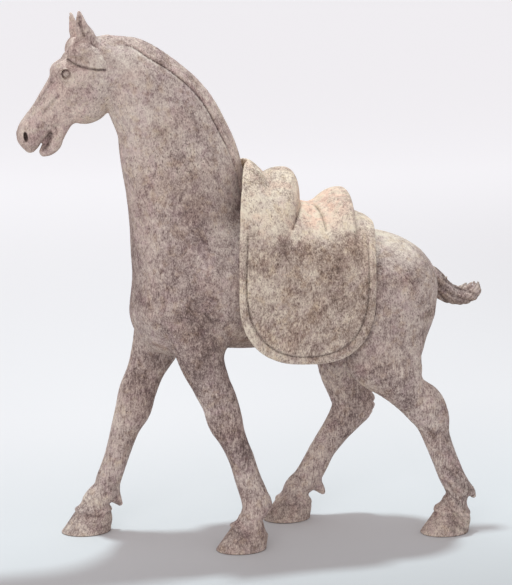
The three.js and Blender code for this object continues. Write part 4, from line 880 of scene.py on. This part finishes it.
class Nodes:
    def __init__(self, name):
        self.m = bpy.data.materials.new(name)
        self.m.use_nodes = True
        self.t = self.m.node_tree
        self.t.nodes.clear()
        self.place = self.t.nodes.new("ShaderNodeTexCoord").outputs["Object"]

    def add(self, kind, **sockets):
        n = self.t.nodes.new(kind)
        for k, v in sockets.items():
            self.put(n.inputs[k], v)
        return n

    def put(self, socket, v):
        if isinstance(v, bpy.types.NodeSocket):
            self.t.links.new(v, socket)
        else:
            socket.default_value = v

    def at(self, scale, shift=(0, 0, 0)):
        n = self.t.nodes.new("ShaderNodeMapping")
        self.t.links.new(self.place, n.inputs["Vector"])
        n.inputs["Scale"].default_value = scale
        n.inputs["Location"].default_value = shift
        return n.outputs["Vector"]

    def noise(self, vector, scale, detail=3.0, rough=0.55, warp=0.0):
        n = self.add("ShaderNodeTexNoise", Vector=vector, Scale=scale, Detail=detail, Roughness=rough, Distortion=warp)
        return n.outputs["Fac"]

    def cells(self, vector, scale, jitter=1.0):
        n = self.add("ShaderNodeTexVoronoi", Vector=vector, Scale=scale, Randomness=jitter)
        return n.outputs["Distance"]

    def math(self, op, a, b=0.0, clamp=False):
        n = self.t.nodes.new("ShaderNodeMath")
        n.operation, n.use_clamp = op, clamp
        self.put(n.inputs[0], a)
        self.put(n.inputs[1], b)
        return n.outputs[0]

    def ramp(self, v, lo, hi, out_lo=0.0, out_hi=1.0):
        n = self.t.nodes.new("ShaderNodeMapRange")
        n.interpolation_type = "SMOOTHSTEP"
        for k, w in (("Value", v), ("From Min", lo), ("From Max", hi), ("To Min", out_lo), ("To Max", out_hi)):
            self.put(n.inputs[k], w)
        return n.outputs["Result"]

    def mix(self, fac, a, b, kind="MIX"):
        n = self.t.nodes.new("ShaderNodeMix")
        n.data_type, n.blend_type = "RGBA", kind
        self.put(n.inputs[0], fac)
        self.put(n.inputs[6], a)
        self.put(n.inputs[7], b)
        return n.outputs[2]

    def colors(self, v, stops):
        n = self.add("ShaderNodeValToRGB", Fac=v)
        e = n.color_ramp.elements
        while len(e) < len(stops):
            e.new(0.5)
        for item, (at, color) in zip(e, stops):
            item.position, item.color = at, color
        return n.outputs["Color"]

    def mask(self, name):
        n = self.t.nodes.new("ShaderNodeAttribute")
        n.attribute_name = name
        return n.outputs["Fac"]


def clay(name, stops, dark, cream_and_top_light, pink, mauve, soil_and_shade, seed, contrast=1.0):
    k = Nodes(name)
    move = (seed * 1.7, seed * 0.9, -seed)
    body, tall, drawn = k.at((1, 1, 1), move), k.at((1, 1, 0.6), move), k.at((1, 1, 0.16), move)
    pits, stain, hollow, edge = k.mask("pits"), k.mask("stain"), k.mask("hollow"), k.mask("edge")
    groove, underside_shade, cream_and_top_light_mask, p_mask, streak = k.mask("groove"), k.mask("underside_shade"), k.mask("cream_and_top_light"), k.mask("pink"), k.mask("streak")
    grain, small, middle = k.noise(tall, 780, 2, 0.6), k.noise(tall, 330, 3, 0.62), k.noise(body, 135, 3, 0.6)
    big, broad, lines = k.noise(body, 52, 3, 0.6), k.noise(body, 19, 3, 0.6), k.noise(drawn, 560, 3, 0.6)
    # how light the surface is: mottling at six sizes, then soil, rubbed edges, and painted shade that darkens the
    # hollows
    v = 0.5
    for n, w in ((grain, 0.95), (small, 0.68), (middle, 0.55), (big, 0.60), (broad, 0.58)):
        v = k.math("ADD", v, k.math("MULTIPLY", k.math("SUBTRACT", n, 0.5), w * contrast))
    v = k.math("ADD", v, k.math("MULTIPLY", k.math("MULTIPLY", k.math("SUBTRACT", lines, 0.5), streak), 0.85 * contrast))
    v = k.math("ADD", v, k.math("SUBTRACT", k.mask("tone"), 0.5))
    for n, w in ((pits, -0.07), (stain, -0.17), (hollow, -0.20), (edge, 0.15), (cream_and_top_light_mask, 0.14)):
        v = k.math("ADD", v, k.math("MULTIPLY", n, w))
    col = k.colors(v, stops)
    # tints: pale slip, pink and mauve pigment, brown soil
    tint_a, tint_b = k.noise(body, 88, 4, 0.62), k.noise(k.at((1, 1, 1), (seed + 3, 7, 2)), 64, 4, 0.62)
    # cream slip, with painted top light on surfaces facing up
    col = k.mix(k.math("MULTIPLY", cream_and_top_light_mask, k.ramp(v, 0.34, 0.78, 0.15, 0.72)), col, cream_and_top_light)
    col = k.mix(k.math("MULTIPLY", p_mask, k.ramp(tint_a, 0.40, 0.58, 0.12, 0.80)), col, k.mix(0.80, col, pink, "MULTIPLY"))
    col = k.mix(k.ramp(tint_b, 0.50, 0.64, 0.0, 0.60), col, k.mix(0.95, col, mauve, "MULTIPLY"))
    col = k.mix(k.ramp(tint_a, 0.50, 0.34, 0.0, 0.55), col, k.mix(0.9, col, soil_and_shade, "MULTIPLY"))
    col = k.mix(k.math("MULTIPLY", stain, k.ramp(middle, 0.35, 0.6, 0.75, 1.0)), col, k.mix(0.95, col, soil_and_shade, "MULTIPLY"))
    # distinct dark pits, thick in some places
    spread = k.math("SUBTRACT", 0.665, k.math("MULTIPLY", pits, 0.115))
    dots = k.ramp(k.noise(k.at((1, 1, 0.7), (seed + 9, 1, 4)), 520, 2, 0.5), spread, k.math("ADD", spread, 0.06))
    holes = k.ramp(k.cells(k.at((1, 1, 0.62), move), 235), k.ramp(pits, 0.1, 1.0, 0.04, 0.27), 0.02)
    dots = k.math("MULTIPLY", dots, k.ramp(cream_and_top_light_mask, 0.2, 0.8, 0.58, 0.18))
    dirt = k.math("MAXIMUM", dots, k.math("MULTIPLY", holes, k.ramp(pits, 0.25, 0.9, 0.10, 0.72)))
    dirt = k.math("MULTIPLY", dirt, k.ramp(middle, 0.36, 0.56, 0.25, 1.0), True)
    col = k.mix(dirt, col, dark)
    # painted shade: the groove mask darkens cut lines and creases toward near black
    col = k.mix(k.math("MULTIPLY", groove, k.ramp(grain, 0.3, 0.65, 0.95, 0.65)), col, k.mix(0.45, dark, (0.010, 0.007, 0.006, 1)))
    # painted shade on undersides, darkened with the soil colour
    col = k.mix(k.math("MULTIPLY", underside_shade, 0.75), col, k.mix(0.8, col, soil_and_shade, "MULTIPLY"))
    rough = k.ramp(middle, 0.3, 0.7, 0.86, 0.97)
    height = k.math("ADD", k.math("MULTIPLY", small, 0.6), k.math("SUBTRACT", k.math("MULTIPLY", grain, 0.45), k.math("MULTIPLY", dirt, 0.6)))
    height = k.math("ADD", height, k.math("MULTIPLY", k.math("MULTIPLY", lines, streak), 0.9))
    bump = k.add("ShaderNodeBump", Strength=0.45, Distance=0.0010, Height=height)
    p = k.add("ShaderNodeBsdfPrincipled", Roughness=rough, Normal=bump.outputs["Normal"])
    k.put(p.inputs["Base Color"], col)
    p.inputs["Specular IOR Level"].default_value = 0.16
    o = k.t.nodes.new("ShaderNodeOutputMaterial")
    k.t.links.new(p.outputs["BSDF"], o.inputs["Surface"])
    return k.m


CLAY = [(0.00, srgb(84, 70, 67)), (0.24, srgb(128, 111, 107)), (0.42, srgb(164, 147, 141)), (0.56, srgb(190, 173, 165)), (0.74, srgb(212, 198, 187)), (1.00, srgb(231, 219, 205))]
SLIP = [(0.00, srgb(92, 78, 72)), (0.24, srgb(136, 118, 108)), (0.42, srgb(172, 154, 143)), (0.56, srgb(198, 181, 168)), (0.74, srgb(222, 208, 190)), (1.00, srgb(240, 230, 212))]
horse_mat = clay("horse_clay", CLAY, dark=srgb(74, 60, 57), cream_and_top_light=srgb(232, 219, 196), pink=(1.0, 0.79, 0.77, 1), mauve=(0.92, 0.85, 0.92, 1),
                 soil_and_shade=(0.86, 0.77, 0.66, 1), seed=1)
saddle_mat = clay("saddle_clay", SLIP, dark=srgb(80, 66, 58), cream_and_top_light=srgb(238, 225, 203), pink=(1.0, 0.70, 0.66, 1), mauve=(0.88, 0.84, 0.90, 1),
                  soil_and_shade=(0.84, 0.75, 0.64, 1), seed=5, contrast=1.05)
for ob, mat, node, slot in ((horse_ob, horse_mat, "horse", "horse_clay"), (saddle_ob, saddle_mat, "saddle", "saddle_clay")):
    ob.data.materials.clear()
    ob.data.materials.append(mat)
    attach(ob, "root")
    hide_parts(node)

# ---- floor, light, camera -------------------------------------------------------------------------------
me = bpy.data.meshes.new("floor")
me.from_pydata([(-30, -30, 0), (30, -30, 0), (30, 30, 0), (-30, 30, 0)], [], [(0, 1, 2, 3)])
floor = bpy.data.objects.new("floor", me)
bpy.context.scene.collection.objects.link(floor)
k = Nodes("floor")
sep = k.add("ShaderNodeSeparateXYZ", Vector=k.place)
depth = sep.outputs["Y"]
shade = k.math("ADD", k.ramp(depth, -0.34, 0.06, 0.52, 0.70), k.ramp(depth, 0.05, 0.6, 0.0, 0.068))
p = k.add("ShaderNodeBsdfPrincipled", Roughness=0.9)
k.put(p.inputs["Base Color"], k.mix(1.0, k.mix(k.ramp(depth, -0.1, 0.6), (1.0, 1.015, 1.035, 1), (1.03, 1.0, 1.01, 1)), shade, "MULTIPLY"))
# painted light: the far part of the floor glows, more with distance
p.inputs["Emission Color"].default_value = (0.96, 1.0, 1.05, 1)
k.put(p.inputs["Emission Strength"], k.ramp(depth, 0.3, 3.4, 0.0, 0.39))
p.inputs["Specular IOR Level"].default_value = 0.1
o = k.t.nodes.new("ShaderNodeOutputMaterial")
k.t.links.new(p.outputs["BSDF"], o.inputs["Surface"])
me.materials.append(k.m)

world = bpy.data.worlds.new("studio")
bpy.context.scene.world = world
world.use_nodes = True
bg = world.node_tree.nodes["Background"]
bg.inputs["Color"].default_value = (1.0, 0.955, 0.965, 1)
bg.inputs["Strength"].default_value = 0.62


from mathutils import Vector


def lamp(name, place, toward, size, energy, color):
    """A soft box at a place, facing a point."""
    d = bpy.data.lights.new(name, "AREA")
    d.shape, d.size, d.energy, d.color = "DISK", size, energy, color
    ob = bpy.data.objects.new(name, d)
    ob.visible_camera = False
    bpy.context.scene.collection.objects.link(ob)
    ob.location = Vector(place)
    ob.rotation_euler = (Vector(toward) - Vector(place)).to_track_quat("-Z", "Y").to_euler()


lamp("key", (0.136, 0.398, 2.45), (0.0, 0.0, 0.2), 0.20, 34.6, (0.81, 0.955, 0.99))
lamp("fill", (-1.3, -2.5, 1.0), (0.0, 0.0, 0.3), 2.2, 25.0, (1.0, 0.97, 0.975))

cam = bpy.data.cameras.new("camera")
cam.sensor_width, cam.sensor_fit = 36.0, "AUTO"
FOCAL_PX = 0.9 * math.hypot(1900, 365)
cam.lens = 36.0 * FOCAL_PX / 585.0  # the sensor's width spans the picture's longer side
camera = bpy.data.objects.new("camera", cam)
bpy.context.scene.collection.objects.link(camera)
az = math.radians(-14)
target = np.array([18.0 - SHIFT_X, -18.0, 285.0]) * 0.001
eye_at = target + np.array([math.sin(az) * 1.9, -math.cos(az) * 1.9, 0.365])
camera.location = Vector(eye_at)
camera.rotation_euler = Vector(target - eye_at).to_track_quat("-Z", "Y").to_euler()
cam.clip_start, cam.clip_end = 0.05, 100
bpy.context.scene.camera = camera
bpy.context.scene.view_settings.view_transform = "Standard"
bpy.context.scene.view_settings.look = "None"
